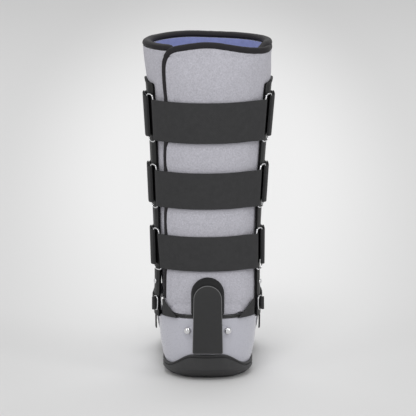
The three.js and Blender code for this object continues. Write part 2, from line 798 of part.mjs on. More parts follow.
const farWire = (row, side, z) => straightWire(row, z, (level) => {
  const under = STRUT_THICKNESS + STRAP_THICKNESS + 3 * CLEARANCE;
  return strutPoint(level, farWireAngle(side), side.sign, under + WIRE_RADIUS);
});

// Half turn of webbing round a wire, from its outer side to its inner side
function turnRound(wire, z, angle, towards) {
  const { outwards, forward } = directionsAt(z, angle);
  return Array.from({ length: TURN_STEPS + 1 }, (_, k) => {
    const turn = (Math.PI * k) / TURN_STEPS;
    return wire.clone()
      .addScaledVector(outwards, TURN_RADIUS * Math.cos(turn))
      .addScaledVector(forward, towards * TURN_RADIUS * Math.sin(turn));
  });
}

// Heel-side panel: round the calf from ring to ring, each end turned in round its wire
function rearStrapGeometry(row) {
  const half = (side, z) => {
    const end = nearWireAngle(side);
    const wire = nearWire(row, side, z);
    const hook = turnRound(wire, z, side.sign * end, 1);
    const points = [];
    for (let k = 1; k <= 8; k++) {
      const angle = ((end - 4) * k) / 8;
      const lift = smooth(angle, end - HOOK_RISE_ANGLE, end);
      const seat = OVER_FLAP + STRAP_THICKNESS / 2;
      const outer = strutSeat(side.sign) + RING_STAND_OFF + TURN_RADIUS;
      points.push(around(z, side.sign * angle, lerp(seat, Math.max(seat, outer), lift)));
    }
    return [...points, ...hook];
  };
  return webbing((v) => {
    const z = lerp(row.low, row.high, v);
    const [left, right] = SIDES.map((side) => half(side, z));
    return [...left.reverse(), around(z, 0, OVER_FLAP + STRAP_THICKNESS / 2), ...right];
  });
}

// Shin-side strap: both ends come round the far wire and lie back over the strut
function frontStrapGeometry(row) {
  const inner = STRUT_THICKNESS + 2 * CLEARANCE + STRAP_THICKNESS / 2;
  const outer = inner + STRAP_THICKNESS + CLEARANCE;
  const onShin = 3 * CLEARANCE + STRAP_THICKNESS / 2;
  const half = (side, z) => {
    const start = farWireAngle(side);
    const wire = farWire(row, side, z);
    const points = [];
    for (let k = 0; k <= 4; k++) {
      const angle = lerp(FOLD_BACK_ANGLE, start + 4, k / 4);
      const lift = 2 * TURN_RADIUS - STRAP_THICKNESS - CLEARANCE;
      points.push(strutPoint(z, angle, side.sign, outer + lift * (1 - smooth(angle, start, start + 16))));
    }
    points.push(...turnRound(wire, z, side.sign * start, -1));
    const clearOfStrut = STRUT_FAR_ANGLE + 3;
    for (let k = 1; k <= 10; k++) {
      const angle = k < 5 ? lerp(start, clearOfStrut, k / 4) : lerp(clearOfStrut, 180, (k - 4) / 6.5);
      const onStrut = 1 - smooth(angle, clearOfStrut, clearOfStrut + STRAP_BEND_ANGLE);
      const over = strutPoint(z, angle, side.sign, inner);
      const onLiner = around(z, side.sign * angle, onShin);
      points.push(onLiner.lerp(over, onStrut));
    }
    return points;
  };
  return webbing((v) => {
    const z = lerp(row.low, row.high, v) + FRONT_LIFT;
    const [left, right] = SIDES.map((side) => half(side, z));
    return [...left, around(z, 180, onShin), ...right.reverse()];
  });
}

// Wire ring between a heel-side panel and a shin-side strap
function ringGeometry(row, side) {
  const low = row.low - RING_MARGIN;
  const high = row.high + FRONT_LIFT + RING_MARGIN;
  const spot = (share, z) => nearWire(row, side, z).lerp(farWire(row, side, z), share);
  const levels = [low + RING_CORNER, high - RING_CORNER];
  const path = levels.map((z) => spot(0, z));
  path.push(spot(0.2, high), spot(0.8, high));
  [...levels].reverse().forEach((z) => path.push(spot(1, z)));
  path.push(spot(0.8, low), spot(0.2, low));
  return bead(path, WIRE_RADIUS, WIRE_SIDES, true);
}

// Ankle strap: from ring to ring over the instep, its free ends folded down the outside
const ankleRow = { low: ANKLE_LOW, high: ANKLE_HIGH, onShell: true };

function ankleStrapGeometry() {
  const inner = STRUT_THICKNESS + 2 * CLEARANCE + STRAP_THICKNESS / 2;
  const half = (side, v) => {
    const start = farWireAngle(side);
    const low = lerp(ankleRow.low, ankleRow.high, v);
    const wire = farWire(ankleRow, side, low);
    const points = [...turnRound(wire, low, side.sign * start, -1)];
    for (let k = 1; k <= 12; k++) {
      const angle = lerp(start, 180, k / 12.5);
      const share = smooth(angle, STRUT_FAR_ANGLE - 8, 180);
      const z = lerp(low, lerp(ANKLE_FRONT_LOW, ANKLE_FRONT_HIGH, v), share);
      const onStrut = 1 - smooth(angle, STRUT_FAR_ANGLE + 4, STRUT_FAR_ANGLE + STRAP_BEND_ANGLE + 14);
      const over = strutPoint(z, angle, side.sign, inner);
      const onLiner = around(z, side.sign * angle, 2 * CLEARANCE + STRAP_THICKNESS / 2);
      points.push(onLiner.lerp(over, onStrut));
    }
    return points;
  };
  return webbing((v) => {
    const [left, right] = SIDES.map((side) => half(side, v));
    const z = lerp(ANKLE_FRONT_LOW, ANKLE_FRONT_HIGH, v);
    return [...left, around(z, 180, 2 * CLEARANCE + STRAP_THICKNESS / 2), ...right.reverse()];
  });
}

// Forefoot strap: over the toes and down outside the shell's side walls
function forefootStrapGeometry() {
  return outward(slab(22, 2, (u, v, face) => {
    const angle = lerp(180 - FOREFOOT_REACH, 180 + FOREFOOT_REACH, u);
    const section = sectionBetween(SECTIONS, lerp(FOREFOOT_FIRST, FOREFOOT_LAST, v));
    const rise = face * STRAP_THICKNESS;
    const p = sectionPoint(section, angle, 2 * CLEARANCE + rise);
    const overWall = SIDE_WALL_HEIGHT + TRIM_HEIGHT + FOREFOOT_DROP;
    const hold = 1 - smooth(p.z, overWall, overWall + 8);
    const shellSide = rimHalfWidth(p.y) + TRIM_PROUD + 2 * CLEARANCE + rise;
    p.x = Math.sign(p.x) * Math.max(Math.abs(p.x), lerp(Math.abs(p.x), shellSide, hold));
    p.z -= FOREFOOT_DROP * (1 - smooth(p.z, SIDE_WALL_HEIGHT, overWall));
    return p;
  }));
}

// Heel gussets, backstay pad and plate
function gussetGeometry(side) {
  const low = HEEL_RIM - HEEL_RIM_SAG + TRIM_HEIGHT + 3 * CLEARANCE;
  const high = EAR_HEIGHT + TRIM_HEIGHT;
  const seat = FLAP_SEAT + 2 * PIPING_RADIUS + CLEARANCE;
  return outward(slab(5, 2, (u, v, face) => {
    const z = lerp(low, high, v);
    const from = lerp(GUSSET_FOOT_ANGLE, side.edgeAngle - 4, v);
    const angle = lerp(from, side.edgeAngle - 1, u);
    return around(z, side.sign * angle, seat + face * STRAP_THICKNESS);
  }));
}

function padGeometry() {
  const low = HEEL_RIM + TRIM_HEIGHT + 1;
  const seat = PLATE_BACK + CLEARANCE;
  return outward(slab(6, 8, (u, v, face) => {
    const z = lerp(low, PAD_TOP, Math.sin((v * Math.PI) / 2));
    const into = Math.max(0, z - (PAD_TOP - PAD_HALF_WIDTH)) / PAD_HALF_WIDTH;
    const width = PAD_HALF_WIDTH * Math.sqrt(Math.max(0.002, 1 - into ** 2));
    const out = OVER_FLAP + CLEARANCE + face * PAD_THICKNESS;
    const p = around(z, angleAcross(z, (2 * u - 1) * width, out), out);
    p.y = Math.max(p.y, seat);
    return p;
  }));
}

function plateGeometry() {
  const shape = new THREE.Shape();
  const corner = 2.5;
  const arch = PLATE_TOP - PLATE_TOP_HALF_WIDTH;
  shape.moveTo(-PLATE_HALF_WIDTH + corner, PLATE_BOTTOM);
  shape.lineTo(PLATE_HALF_WIDTH - corner, PLATE_BOTTOM);
  shape.quadraticCurveTo(PLATE_HALF_WIDTH, PLATE_BOTTOM, PLATE_HALF_WIDTH, PLATE_BOTTOM + corner);
  shape.lineTo(PLATE_TOP_HALF_WIDTH, arch);
  shape.absarc(0, arch, PLATE_TOP_HALF_WIDTH, 0, Math.PI, false);
  shape.lineTo(-PLATE_HALF_WIDTH, PLATE_BOTTOM + corner);
  shape.quadraticCurveTo(-PLATE_HALF_WIDTH, PLATE_BOTTOM, -PLATE_HALF_WIDTH + corner, PLATE_BOTTOM);
  const geometry = new THREE.ExtrudeGeometry(shape, {
    depth: PLATE_THICKNESS - 1.2, bevelEnabled: true, bevelThickness: 0.6, bevelSize: 0.6,
    bevelOffset: -0.6, bevelSegments: 1, curveSegments: 8,
  });
  geometry.rotateX(Math.PI / 2);
  geometry.translate(0, PLATE_BACK - 0.6, 0);
  return geometry;
}

const PLATE_BACK = HEEL_Y - ANCHOR_THICKNESS - TRIM_PROUD - CLEARANCE;

// Diamond plate riveted to the heel of the shell, under the backstay plate
function anchorGeometry() {
  const columns = 10;
  return outward(slab(columns, 2, (u, v, face) => {
    const x = (2 * u - 1) * ANCHOR_TIP;
    const half = Math.max(1.2, ANCHOR_HALF_HEIGHT * (1 - Math.abs(x) / ANCHOR_TIP) ** 0.8);
    const y = heelFaceY(x) - CLEARANCE - face * ANCHOR_THICKNESS;
    return new THREE.Vector3(x, Math.max(y, PLATE_BACK + CLEARANCE), RIVET_Z + (2 * v - 1) * half);
  }));
}

// How far back the shell's rim reaches at a place across the heel
function heelFaceY(x) {
  let back = 0;
  PLAN.forEach((p, i) => {
    const q = PLAN[(i + 1) % PLAN_SIDES];
    if ((p.x - x) * (q.x - x) > 0 || p.y > 0) return;
    const share = (x - p.x) / (q.x - p.x || 1);
    back = Math.min(back, lerp(p.y, q.y, share));
  });
  return back;
}

// Dome-headed rivet at a point, facing along a direction
function rivetGeometry(point, direction, radius, height) {
  const profile = [
    new THREE.Vector2(0, 0),
    new THREE.Vector2(radius, 0),
    new THREE.Vector2(radius * 0.82, height * 0.6),
    new THREE.Vector2(radius * 0.4, height * 0.93),
    new THREE.Vector2(0, height),
  ];
  const geometry = new THREE.LatheGeometry(profile, 10);
  const turn = new THREE.Quaternion().setFromUnitVectors(new THREE.Vector3(0, 1, 0), direction);
  geometry.applyQuaternion(turn);
  geometry.translate(point.x, point.y, point.z);
  return geometry;
}

function heelRivetGeometry(side) {
  const x = side.sign * RIVET_X;
  const slope = (heelFaceY(RIVET_X + 4) - heelFaceY(RIVET_X - 4)) / 8;
  const direction = new THREE.Vector3(side.sign * slope, -1, 0).normalize();
  const face = heelFaceY(x) - 2 * CLEARANCE - ANCHOR_THICKNESS;
  return rivetGeometry(new THREE.Vector3(x, face - 0.4, RIVET_Z), direction, RIVET_RADIUS, RIVET_HEIGHT);
}

function strutRivetGeometry(side) {
  const at = (out) =>
    strutPoint(STRUT_RIVET_Z, STRUT_RIVET_ANGLE, side.sign, STRUT_THICKNESS + out);
  const direction = at(1).sub(at(0)).normalize();
  return rivetGeometry(at(2 * CLEARANCE), direction, STRUT_RIVET_RADIUS, STRUT_RIVET_HEIGHT);
}

const boot = new THREE.Group();


function addPiece(name, geometry, colour, roughness, metalness = 0) {
  const finish = { color: colour, roughness, metalness, flatShading: true };
  const material = new THREE.MeshStandardMaterial(finish);
  const mesh = new THREE.Mesh(geometry, material);
  mesh.name = name;
  boot.add(mesh);
  return mesh;
}

addPiece("sole", soleGeometry(), RUBBER_COLOUR, 0.75);
addPiece("shell", shellGeometry(), SHELL_COLOUR, 0.45);
addPiece("rim_trim", rimTrimGeometry(), BLACK, 0.5);
addPiece("liner", linerGeometry(), LINER_COLOUR, 0.95);
addPiece("lining", liningGeometry(), LINING_COLOUR, 0.95);
addPiece("top_binding", topBindingGeometry(), BLACK, 0.8);
addPiece("toe_binding", toeBindingGeometry(), BLACK, 0.8);
addPiece("liner_flap", flapGeometry(), LINER_COLOUR, 0.95);
addPiece("flap_binding", flapBindingGeometry(), BLACK, 0.8);
for (const side of SIDES) {
  addPiece(`strut_${side.name}`, strutGeometry(side), BLACK, 0.35);
  addPiece(`heel_gusset_${side.name}`, gussetGeometry(side), BLACK, 0.9);
}
for (const row of STRAPS) {
  addPiece(`rear_strap_${row.name}`, rearStrapGeometry(row), WEBBING_COLOUR, 0.9);
  addPiece(`front_strap_${row.name}`, frontStrapGeometry(row), WEBBING_COLOUR, 0.9);
  for (const side of SIDES) {
    addPiece(`ring_${row.name}_${side.name}`, ringGeometry(row, side), CHROME_COLOUR, 0.2, 1);
  }
}
addPiece("ankle_strap", ankleStrapGeometry(), WEBBING_COLOUR, 0.9);
addPiece("forefoot_strap", forefootStrapGeometry(), WEBBING_COLOUR, 0.9);
addPiece("anchor_plate", anchorGeometry(), SHELL_COLOUR, 0.4);
for (const side of SIDES) {
  addPiece(`ankle_ring_${side.name}`, ringGeometry(ankleRow, side), CHROME_COLOUR, 0.2, 1);
  addPiece(`heel_rivet_${side.name}`, heelRivetGeometry(side), CHROME_COLOUR, 0.2, 1);
  addPiece(`strut_rivet_${side.name}`, strutRivetGeometry(side), CHROME_COLOUR, 0.2, 1);
}
addPiece("backstay_pad", padGeometry(), WEBBING_COLOUR, 0.9);
addPiece("backstay_plate", plateGeometry(), WEBBING_COLOUR, 0.6);

// The origin is on the floor, under the middle of the whole boot
const extent = new THREE.Box3().setFromObject(boot);
const centre = extent.getCenter(new THREE.Vector3());
boot.position.set(-centre.x, -centre.y, -extent.min.z);

const group = new THREE.Group();
group.add(boot);
export default group;
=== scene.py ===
# %% [markdown]
# # A tall walking boot, seen from behind the heel
#
# The boot is a padded tube of brushed fabric that stands in a moulded shell with a rocker sole.
# Two uprights run up its sides, and webbing straps pull it closed through wire rings. The solids
# of the boot are loaded first and stay as they are. Each step below then makes one visible piece
# in its place, with the detail that a solid for measuring doesn't have.

# %% Load the solids
import math

import bmesh
import bpy
from mathutils import Matrix, Vector, noise
from mathutils.bvhtree import BVHTree


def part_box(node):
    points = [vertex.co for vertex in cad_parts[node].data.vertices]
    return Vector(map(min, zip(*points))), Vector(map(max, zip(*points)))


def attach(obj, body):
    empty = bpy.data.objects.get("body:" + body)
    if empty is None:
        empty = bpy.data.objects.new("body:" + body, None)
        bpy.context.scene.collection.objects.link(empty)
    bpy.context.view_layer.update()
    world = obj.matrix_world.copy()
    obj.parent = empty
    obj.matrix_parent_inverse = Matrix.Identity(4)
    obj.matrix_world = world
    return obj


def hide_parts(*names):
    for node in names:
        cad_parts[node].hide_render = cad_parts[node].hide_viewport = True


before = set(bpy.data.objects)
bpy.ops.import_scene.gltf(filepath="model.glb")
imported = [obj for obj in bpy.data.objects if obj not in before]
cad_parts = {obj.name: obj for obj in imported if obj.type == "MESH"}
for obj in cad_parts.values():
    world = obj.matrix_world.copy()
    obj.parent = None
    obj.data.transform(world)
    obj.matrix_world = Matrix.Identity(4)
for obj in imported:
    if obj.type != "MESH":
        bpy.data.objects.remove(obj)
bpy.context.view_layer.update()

MM = 0.001

# %% [markdown]
# ## The picture: camera, floor and light
#
# A long lens from far away keeps the sides of the boot nearly parallel, as a catalogue
# photographer does. The camera looks down a little, so that the rim's opening shows as a thin
# oval. It could be placed by hand in the viewport, but from two points and a lens it stays exact.

# %% Camera
VIEW_TARGET = Vector((-0.9, -72.25, 216.5)) * MM
VIEW_DISTANCE = 5.5
VIEW_ELEVATION = math.radians(11)
FRAME_WIDTH = 0.5438
SENSOR = 36.0

camera_data = bpy.data.cameras.new("camera")
camera_data.sensor_width = SENSOR
camera_data.lens = SENSOR * VIEW_DISTANCE / FRAME_WIDTH
camera = bpy.data.objects.new("camera", camera_data)
bpy.context.scene.collection.objects.link(camera)
back = Vector((0, -math.cos(VIEW_ELEVATION), math.sin(VIEW_ELEVATION)))
camera.location = VIEW_TARGET + back * VIEW_DISTANCE
camera.rotation_euler = (math.pi / 2 - VIEW_ELEVATION, 0, 0)
bpy.context.scene.camera = camera
print("camera at", tuple(round(c, 3) for c in camera.location))

# %% [markdown]
# A studio sweep is one pale surface without a visible edge. A big flat plane does the same here,
# because the camera looks down far enough to see nothing beyond it. Its tone is painted light: a
# distance from a point behind the boot, mapped to a tone, makes it a little darker outwards, a
# painted pool of light.

# %% Floor


def linear(tone):
    """A colour as three parts out of 255, as the renderer counts light."""
    return [((c / 255 + 0.055) / 1.055) ** 2.4 if c > 10 else c / 255 / 12.92 for c in tone]


def link_object(name, data):
    """Puts new data into the scene under a name."""
    made = bpy.data.objects.new(name, data)
    bpy.context.scene.collection.objects.link(made)
    return made


PAINTED_POOL_SHIFT = (0, -0.34, 0)
PAINTED_POOL_SCALE = (1.6, 0.24, 1)
PAINTED_POOL_REACH = (0.22, 0.6)
PAINTED_POOL_TONES = (0.8, 0.64)

floor_mesh = bmesh.new()
bmesh.ops.create_grid(floor_mesh, x_segments=8, y_segments=8, size=14)
floor_data = bpy.data.meshes.new("studio_floor")
floor_mesh.to_mesh(floor_data)
floor_mesh.free()
floor = link_object("studio_floor", floor_data)
floor_paint = bpy.data.materials.new("studio floor")
floor_paint.use_nodes = True
floor_nodes, floor_links = floor_paint.node_tree.nodes, floor_paint.node_tree.links
floor_shader = floor_nodes["Principled BSDF"]
floor_shader.inputs["Roughness"].default_value = 0.75
floor_shader.inputs["Specular IOR Level"].default_value = 0.2
floor_place = floor_nodes.new("ShaderNodeTexCoord")
stretched = floor_nodes.new("ShaderNodeMapping")
stretched.inputs["Location"].default_value = PAINTED_POOL_SHIFT
stretched.inputs["Scale"].default_value = PAINTED_POOL_SCALE
from_middle = floor_nodes.new("ShaderNodeVectorMath")
from_middle.operation = "LENGTH"
# Painted light: the floor's tone falls off with distance from a point behind the boot.
painted_pool = floor_nodes.new("ShaderNodeMapRange")
painted_pool.interpolation_type = "SMOOTHSTEP"
painted_pool.inputs["From Min"].default_value, painted_pool.inputs["From Max"].default_value = PAINTED_POOL_REACH
painted_pool.inputs["To Min"].default_value, painted_pool.inputs["To Max"].default_value = PAINTED_POOL_TONES
floor_links.new(floor_place.outputs["Object"], stretched.inputs["Vector"])
floor_links.new(stretched.outputs["Vector"], from_middle.inputs[0])
floor_links.new(from_middle.outputs["Value"], painted_pool.inputs["Value"])
floor_links.new(painted_pool.outputs["Result"], floor_shader.inputs["Base Color"])
floor_data.materials.append(floor_paint)
print("floor", [round(c) for c in floor.dimensions], "m")

# %% [markdown]
# Large soft boxes give the quiet highlights on the shell. The high one in front is small and
# throws the short shadows under the straps, and an even white world fills the rest.

# %% Lights


def soft_box(name, place, aim, size, power):
    """A large square lamp at one point that shines at another."""
    data = bpy.data.lights.new(name, "AREA")
    data.shape = "RECTANGLE"
    data.size, data.size_y = size
    data.energy = power
    lamp = link_object(name, data)
    lamp.location = place
    lamp.rotation_euler = (Vector(aim) - Vector(place)).to_track_quat("-Z", "Y").to_euler()


soft_box("overhead", (0.1, 1.8, 2.6), (0, 1.9, 0), (2.4, 2.4), 34)
soft_box("high_front", (-0.2, -1.5, 2.0), (0, -0.05, 0.2), (0.5, 0.5), 9)
soft_box("left_panel", (-1.5, -1.4, 0.9), (0, -0.05, 0.22), (0.5, 1.7), 4.5)
soft_box("right_panel", (1.6, -1.2, 1.0), (0, -0.05, 0.22), (0.5, 1.7), 7)
soft_box("front_fill", (0.2, -3.2, 1.7), (0, -0.05, 0.2), (2.0, 1.2), 8)

world = bpy.data.worlds.new("studio air")
bpy.context.scene.world = world
world.use_nodes = True
world.node_tree.nodes["Background"].inputs["Color"].default_value = (1, 1, 1, 1)
world.node_tree.nodes["Background"].inputs["Strength"].default_value = 0.63
bpy.context.scene.view_settings.view_transform = "Standard"
print(len(bpy.data.lights), "soft boxes and the studio air")

# %% [markdown]
# ## Finishes
#
# Every finish is a Principled shader with two or three noise patterns on it: broad patches that
# change the tone a little, a fine grain that changes it point by point, and a bump of the same
# grain. One function builds them all, so they stay alike and only their numbers differ. The
# liner's cloth also reads a number kept in its mesh, which darkens it beside the straps: this
# is painted shade. Webbing also gets a weave, two sets of waves that cross, laid out on the
# strap's own flat map.

# %% A function for finishes
NOISE_SPAN = (0.3, 0.7)
PATCH_SHARE = 0.55
ROUGH_SPAN = 0.06
SHEEN_ROUGHNESS = 0.45
COAT_ROUGHNESS = 0.12


def finish(name, tone, rough, grain, depth, mottle, patch, weave=None, sheen=0.0, metal=0.0,
           coat=0.0, gleam=0.5, painted_strap_shade=False):
    """A procedural material. grain and patch are in dots a metre, depth in mm, mottle a share of
    the tone. One marked for it is darker where its mesh says so: painted shade beside the straps."""
    paint = bpy.data.materials.new(name)
    paint.use_nodes = True
    nodes, links = paint.node_tree.nodes, paint.node_tree.links
    shader = nodes["Principled BSDF"]
    shader.inputs["Metallic"].default_value = metal
    shader.inputs["Sheen Weight"].default_value = sheen
    shader.inputs["Sheen Roughness"].default_value = SHEEN_ROUGHNESS
    shader.inputs["Coat Weight"].default_value = coat
    shader.inputs["Coat Roughness"].default_value = COAT_ROUGHNESS
    shader.inputs["Specular IOR Level"].default_value = gleam
    place = nodes.new("ShaderNodeTexCoord")

    def pattern(scale, detail, rough_share):
        made = nodes.new("ShaderNodeTexNoise")
        made.inputs["Scale"].default_value = scale
        made.inputs["Detail"].default_value = detail
        made.inputs["Roughness"].default_value = rough_share
        links.new(place.outputs["Object"], made.inputs["Vector"])
        return made.outputs["Fac"]

    def ranged(value, low, high):
        made = nodes.new("ShaderNodeMapRange")
        made.inputs["From Min"].default_value, made.inputs["From Max"].default_value = NOISE_SPAN
        made.inputs["To Min"].default_value = low
        made.inputs["To Max"].default_value = high
        links.new(value, made.inputs["Value"])
        return made.outputs["Result"]

    def sums(a, b, how="ADD"):
        made = nodes.new("ShaderNodeMath")
        made.operation = how
        for socket, value in zip(made.inputs, (a, b)):
            if isinstance(value, (int, float)):
                socket.default_value = value
            else:
                links.new(value, socket)
        return made.outputs["Value"]

    patches = pattern(patch, 4, 0.65)
    dots = pattern(grain, 2, 0.7)
    share = sums(ranged(patches, 0, PATCH_SHARE), ranged(dots, 0, 1 - PATCH_SHARE))
    # Painted shade: the liner's cloth is darkened beside the straps by a number in its mesh.
    if painted_strap_shade:
        shade_attribute = nodes.new("ShaderNodeAttribute")
        shade_attribute.attribute_name = "painted_strap_shade"
        share = sums(share, shade_attribute.outputs["Fac"], "SUBTRACT")
    mix = nodes.new("ShaderNodeMix")
    mix.data_type = "RGBA"
    links.new(share, mix.inputs["Factor"])
    for socket, change in (("A", 1 - mottle), ("B", 1 + mottle)):
        corner = [c for c in mix.inputs if c.name == socket and c.type == "RGBA"][0]
        corner.default_value = (*[min(1, c * change) for c in linear(tone)], 1)
    mixed = [c for c in mix.outputs if c.type == "RGBA"][0]
    links.new(mixed, shader.inputs["Base Color"])
    rough_grain = ranged(dots, rough - ROUGH_SPAN, rough + ROUGH_SPAN)
    links.new(rough_grain, shader.inputs["Roughness"])

    height = dots
    if weave:
        flat = nodes.new("ShaderNodeUVMap")
        flat.uv_map = "weave"
        waves = []
        for direction in "XY":
            made = nodes.new("ShaderNodeTexWave")
            made.bands_direction = direction
            made.inputs["Scale"].default_value = weave
            links.new(flat.outputs["UV"], made.inputs["Vector"])
            waves.append(sums(made.outputs["Fac"], 0.5, "SUBTRACT"))
        crossed = sums(sums(waves[0], waves[1], "MULTIPLY"), 2, "MULTIPLY")
        height = sums(crossed, sums(dots, 0.6, "MULTIPLY"))
    bump = nodes.new("ShaderNodeBump")
    bump.inputs["Strength"].default_value = 1
    bump.inputs["Distance"].default_value = depth * MM
    links.new(height, bump.inputs["Height"])
    links.new(bump.outputs["Normal"], shader.inputs["Normal"])
    return paint


print("finish function ready")

# %% [markdown]
# The boot has twelve finishes, from matt cloth to bright wire. A tone is three parts out of 255.
# Cloth has a broad sheen and little gleam, glossy plastic has a thin coat, and the wire is metal.
# The plate's bevelled edge is a finish by itself, a tone paler than its face: a painted highlight.

# %% All the finishes of the boot
# The liner's finish takes painted shade beside the straps from its mesh.
LINER = finish("brushed liner fabric", (183, 182, 190), 0.92, 760, 0.6, 0.22, 400, sheen=0.2,
               gleam=0.2, painted_strap_shade=True)
LINING = finish("soft blue lining", (146, 154, 202), 0.95, 1300, 0.4, 0.14, 130, sheen=0.25,
                gleam=0.2)
BINDING = finish("folded edge tape", (30, 28, 31), 0.7, 2200, 0.15, 0.2, 150, sheen=0.05,
                 gleam=0.3)
WEBBING = finish("charcoal webbing", (54, 54, 55), 0.8, 2000, 0.16, 0.16, 140, weave=150,
                 sheen=0.03, gleam=0.25)
PAD_CLOTH = finish("pad cloth", (36, 36, 37), 0.85, 1700, 0.18, 0.16, 120, sheen=0.03, gleam=0.25)
SHELL = finish("satin shell plastic", (186, 186, 195), 0.3, 700, 0.01, 0.03, 30, coat=0.2)
GLOSS = finish("black moulded trim", (13, 13, 14), 0.3, 500, 0.02, 0.15, 60, coat=0.15)
UPRIGHT = finish("black moulded upright", (15, 15, 16), 0.45, 700, 0.03, 0.15, 60, gleam=0.15)
PLATE = finish("matt plate plastic", (35, 35, 36), 0.6, 2400, 0.07, 0.14, 140)
PLATE_EDGE_HIGHLIGHT = finish("plate edge painted highlight", (104, 104, 105), 0.4, 1500, 0.03, 0.15, 200)
RUBBER = finish("sole rubber", (44, 44, 45), 0.5, 1200, 0.05, 0.12, 60)
CHROME = finish("bright wire", (226, 226, 228), 0.1, 400, 0.01, 0.04, 90, metal=1.0)
print(len(bpy.data.materials), "materials")

# %% [markdown]
# ## Small helpers for shapes
#
# The loaded solids are made of loose triangles. A welded copy with its triangles joined in pairs
# is a clean starting point for bevels and Subdivision Surface. Each finished piece then takes the
# place of its solid and rides on the boot's one body.

# %% Helpers for copies of solids


def welded(node, flat=40, shape=60):
    """A bmesh of a solid with its points merged and its triangles joined to quads."""
    bm = bmesh.new()
    bm.from_mesh(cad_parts[node].data)
    bmesh.ops.remove_doubles(bm, verts=bm.verts, dist=0.02 * MM)
    bmesh.ops.join_triangles(bm, faces=bm.faces, angle_face_threshold=math.radians(flat),
                             angle_shape_threshold=math.radians(shape))
    return bm


def soften(bm, offset, angle=50, segments=2):
    """Rounds the edges that are sharper than an angle, and returns the new faces."""
    sharp = [e for e in bm.edges if e.calc_face_angle(0) > math.radians(angle)]
    made = bmesh.ops.bevel(bm, geom=sharp, offset=offset * MM, offset_type="OFFSET",
                           segments=segments, profile=0.5, affect="EDGES", material=-1,
                           clamp_overlap=True)
    return made["faces"]


def subdivided(bm, levels):
    """The smooth result of a Subdivision Surface, as a new bmesh."""
    data = bpy.data.meshes.new("rough")
    bm.to_mesh(data)
    bm.free()
    rough = link_object("rough", data)
    smoother = rough.modifiers.new("smooth", "SUBSURF")
    smoother.levels = smoother.render_levels = levels
    fine = bmesh.new()
    fine.from_object(rough, bpy.context.evaluated_depsgraph_get())
    bpy.data.objects.remove(rough)
    bpy.data.meshes.remove(data)
    return fine


def place(name, bm, paints, nodes, crease=None):
    """Makes the finished piece, which stands for its solids and moves with the boot."""
    for edge in bm.edges:
        edge.smooth = crease is None or edge.calc_face_angle(0) < math.radians(crease)
    data = bpy.data.meshes.new(name)
    bm.to_mesh(data)
    bm.free()
    data.polygons.foreach_set("use_smooth", [True] * len(data.polygons))
    for paint in paints:
        data.materials.append(paint)
    piece = link_object(name, data)
    if nodes:
        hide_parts(*nodes)
    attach(piece, "root")
    print(name, len(data.polygons), "faces")
    return piece


print("helpers for copies ready")

# %% [markdown]
# A stack of rings is the other starting point: circles whose points are moved to the outline of
# a level, then bridged. It suits the moulded pieces, whose walls follow one outline all the way.

# %% Helpers for stacked rings


def stack(rings, closed=False, ends=True):
    """Bridges a pile of rings into a skin. A closed stack joins its last ring to its first."""
    bm = bmesh.new()
    loops = []
    for ring in rings:
        made = bmesh.ops.create_circle(bm, segments=len(ring), radius=MM)["verts"]
        for vert, point in zip(made, ring):
            vert.co = point
        loops.append(list({e for v in made for e in v.link_edges}))
    pairs = list(zip(loops, loops[1:]))
    if closed:
        pairs.append((loops[-1], loops[0]))
    for low, high in pairs:
        bmesh.ops.bridge_loops(bm, edges=low + high)
    if ends and not closed:
        bmesh.ops.holes_fill(bm, edges=[e for e in bm.edges if e.is_boundary])
    bmesh.ops.recalc_face_normals(bm, faces=bm.faces)
    return bm


def eased(value, low, high):
    """0 below low, 1 above high, and a smooth rise between them."""
    share = min(1, max(0, (value - low) / (high - low)))
    return share * share * (3 - 2 * share)


print("helpers for rings ready")

# %% [markdown]
# ## The outline of the foot
#
# Sole, shell and trim share one outline, as their moulds do. A short table gives half of it from
# heel to toe, and a smooth closed curve runs through the points. Evenly spaced points on that
# curve, each with its outward direction, let every ring be the same outline moved in or out.

# %% Outline
FOOT_LENGTH = 294
HEEL_HALF_WIDTH = 64.5
OUTLINE_POINTS = 156
shell_low, shell_high = (Vector(c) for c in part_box("shell"))
FOOT_MIDDLE = (shell_low + shell_high) / 2 / MM
FOOT_PLAN = [
    {"along": 0.0, "out": 0.0}, {"along": 0.016, "out": 0.38}, {"along": 0.064, "out": 0.71},
    {"along": 0.135, "out": 0.925}, {"along": 0.22, "out": 1.0}, {"along": 0.42, "out": 0.985},
    {"along": 0.56, "out": 1.01}, {"along": 0.7, "out": 1.055}, {"along": 0.83, "out": 0.97},
    {"along": 0.925, "out": 0.72}, {"along": 0.98, "out": 0.39}, {"along": 1.0, "out": 0.0},
]


def outline_point(row, side):
    """One point of the plan in mm, on the side with that sign."""
    return Vector((side * row["out"] * HEEL_HALF_WIDTH, (row["along"] - 0.5) * FOOT_LENGTH, 0))


def smooth_loop(corners, steps):
    """Points on a closed curve that passes through its corners."""
    curve = []
    for k, here in enumerate(corners):
        before, after = corners[k - 1], corners[(k + 1) % len(corners)]
        beyond = corners[(k + 2) % len(corners)]
        for s in range(steps):
            t = s / steps
            curve.append(0.5 * (2 * here + (after - before) * t
                         + (2 * before - 5 * here + 4 * after - beyond) * t * t
                         + (3 * here - before - 3 * after + beyond) * t ** 3))
    return curve


def evenly(curve, count):
    """The same closed curve with its points at even distances."""
    steps = [(curve[(k + 1) % len(curve)] - p).length for k, p in enumerate(curve)]
    total, walked, k, points = sum(steps), 0, 0, []
    for n in range(count):
        goal = total * n / count
        while walked + steps[k] < goal:
            walked += steps[k]
            k += 1
        points.append(curve[k].lerp(curve[(k + 1) % len(curve)], (goal - walked) / steps[k]))
    return points


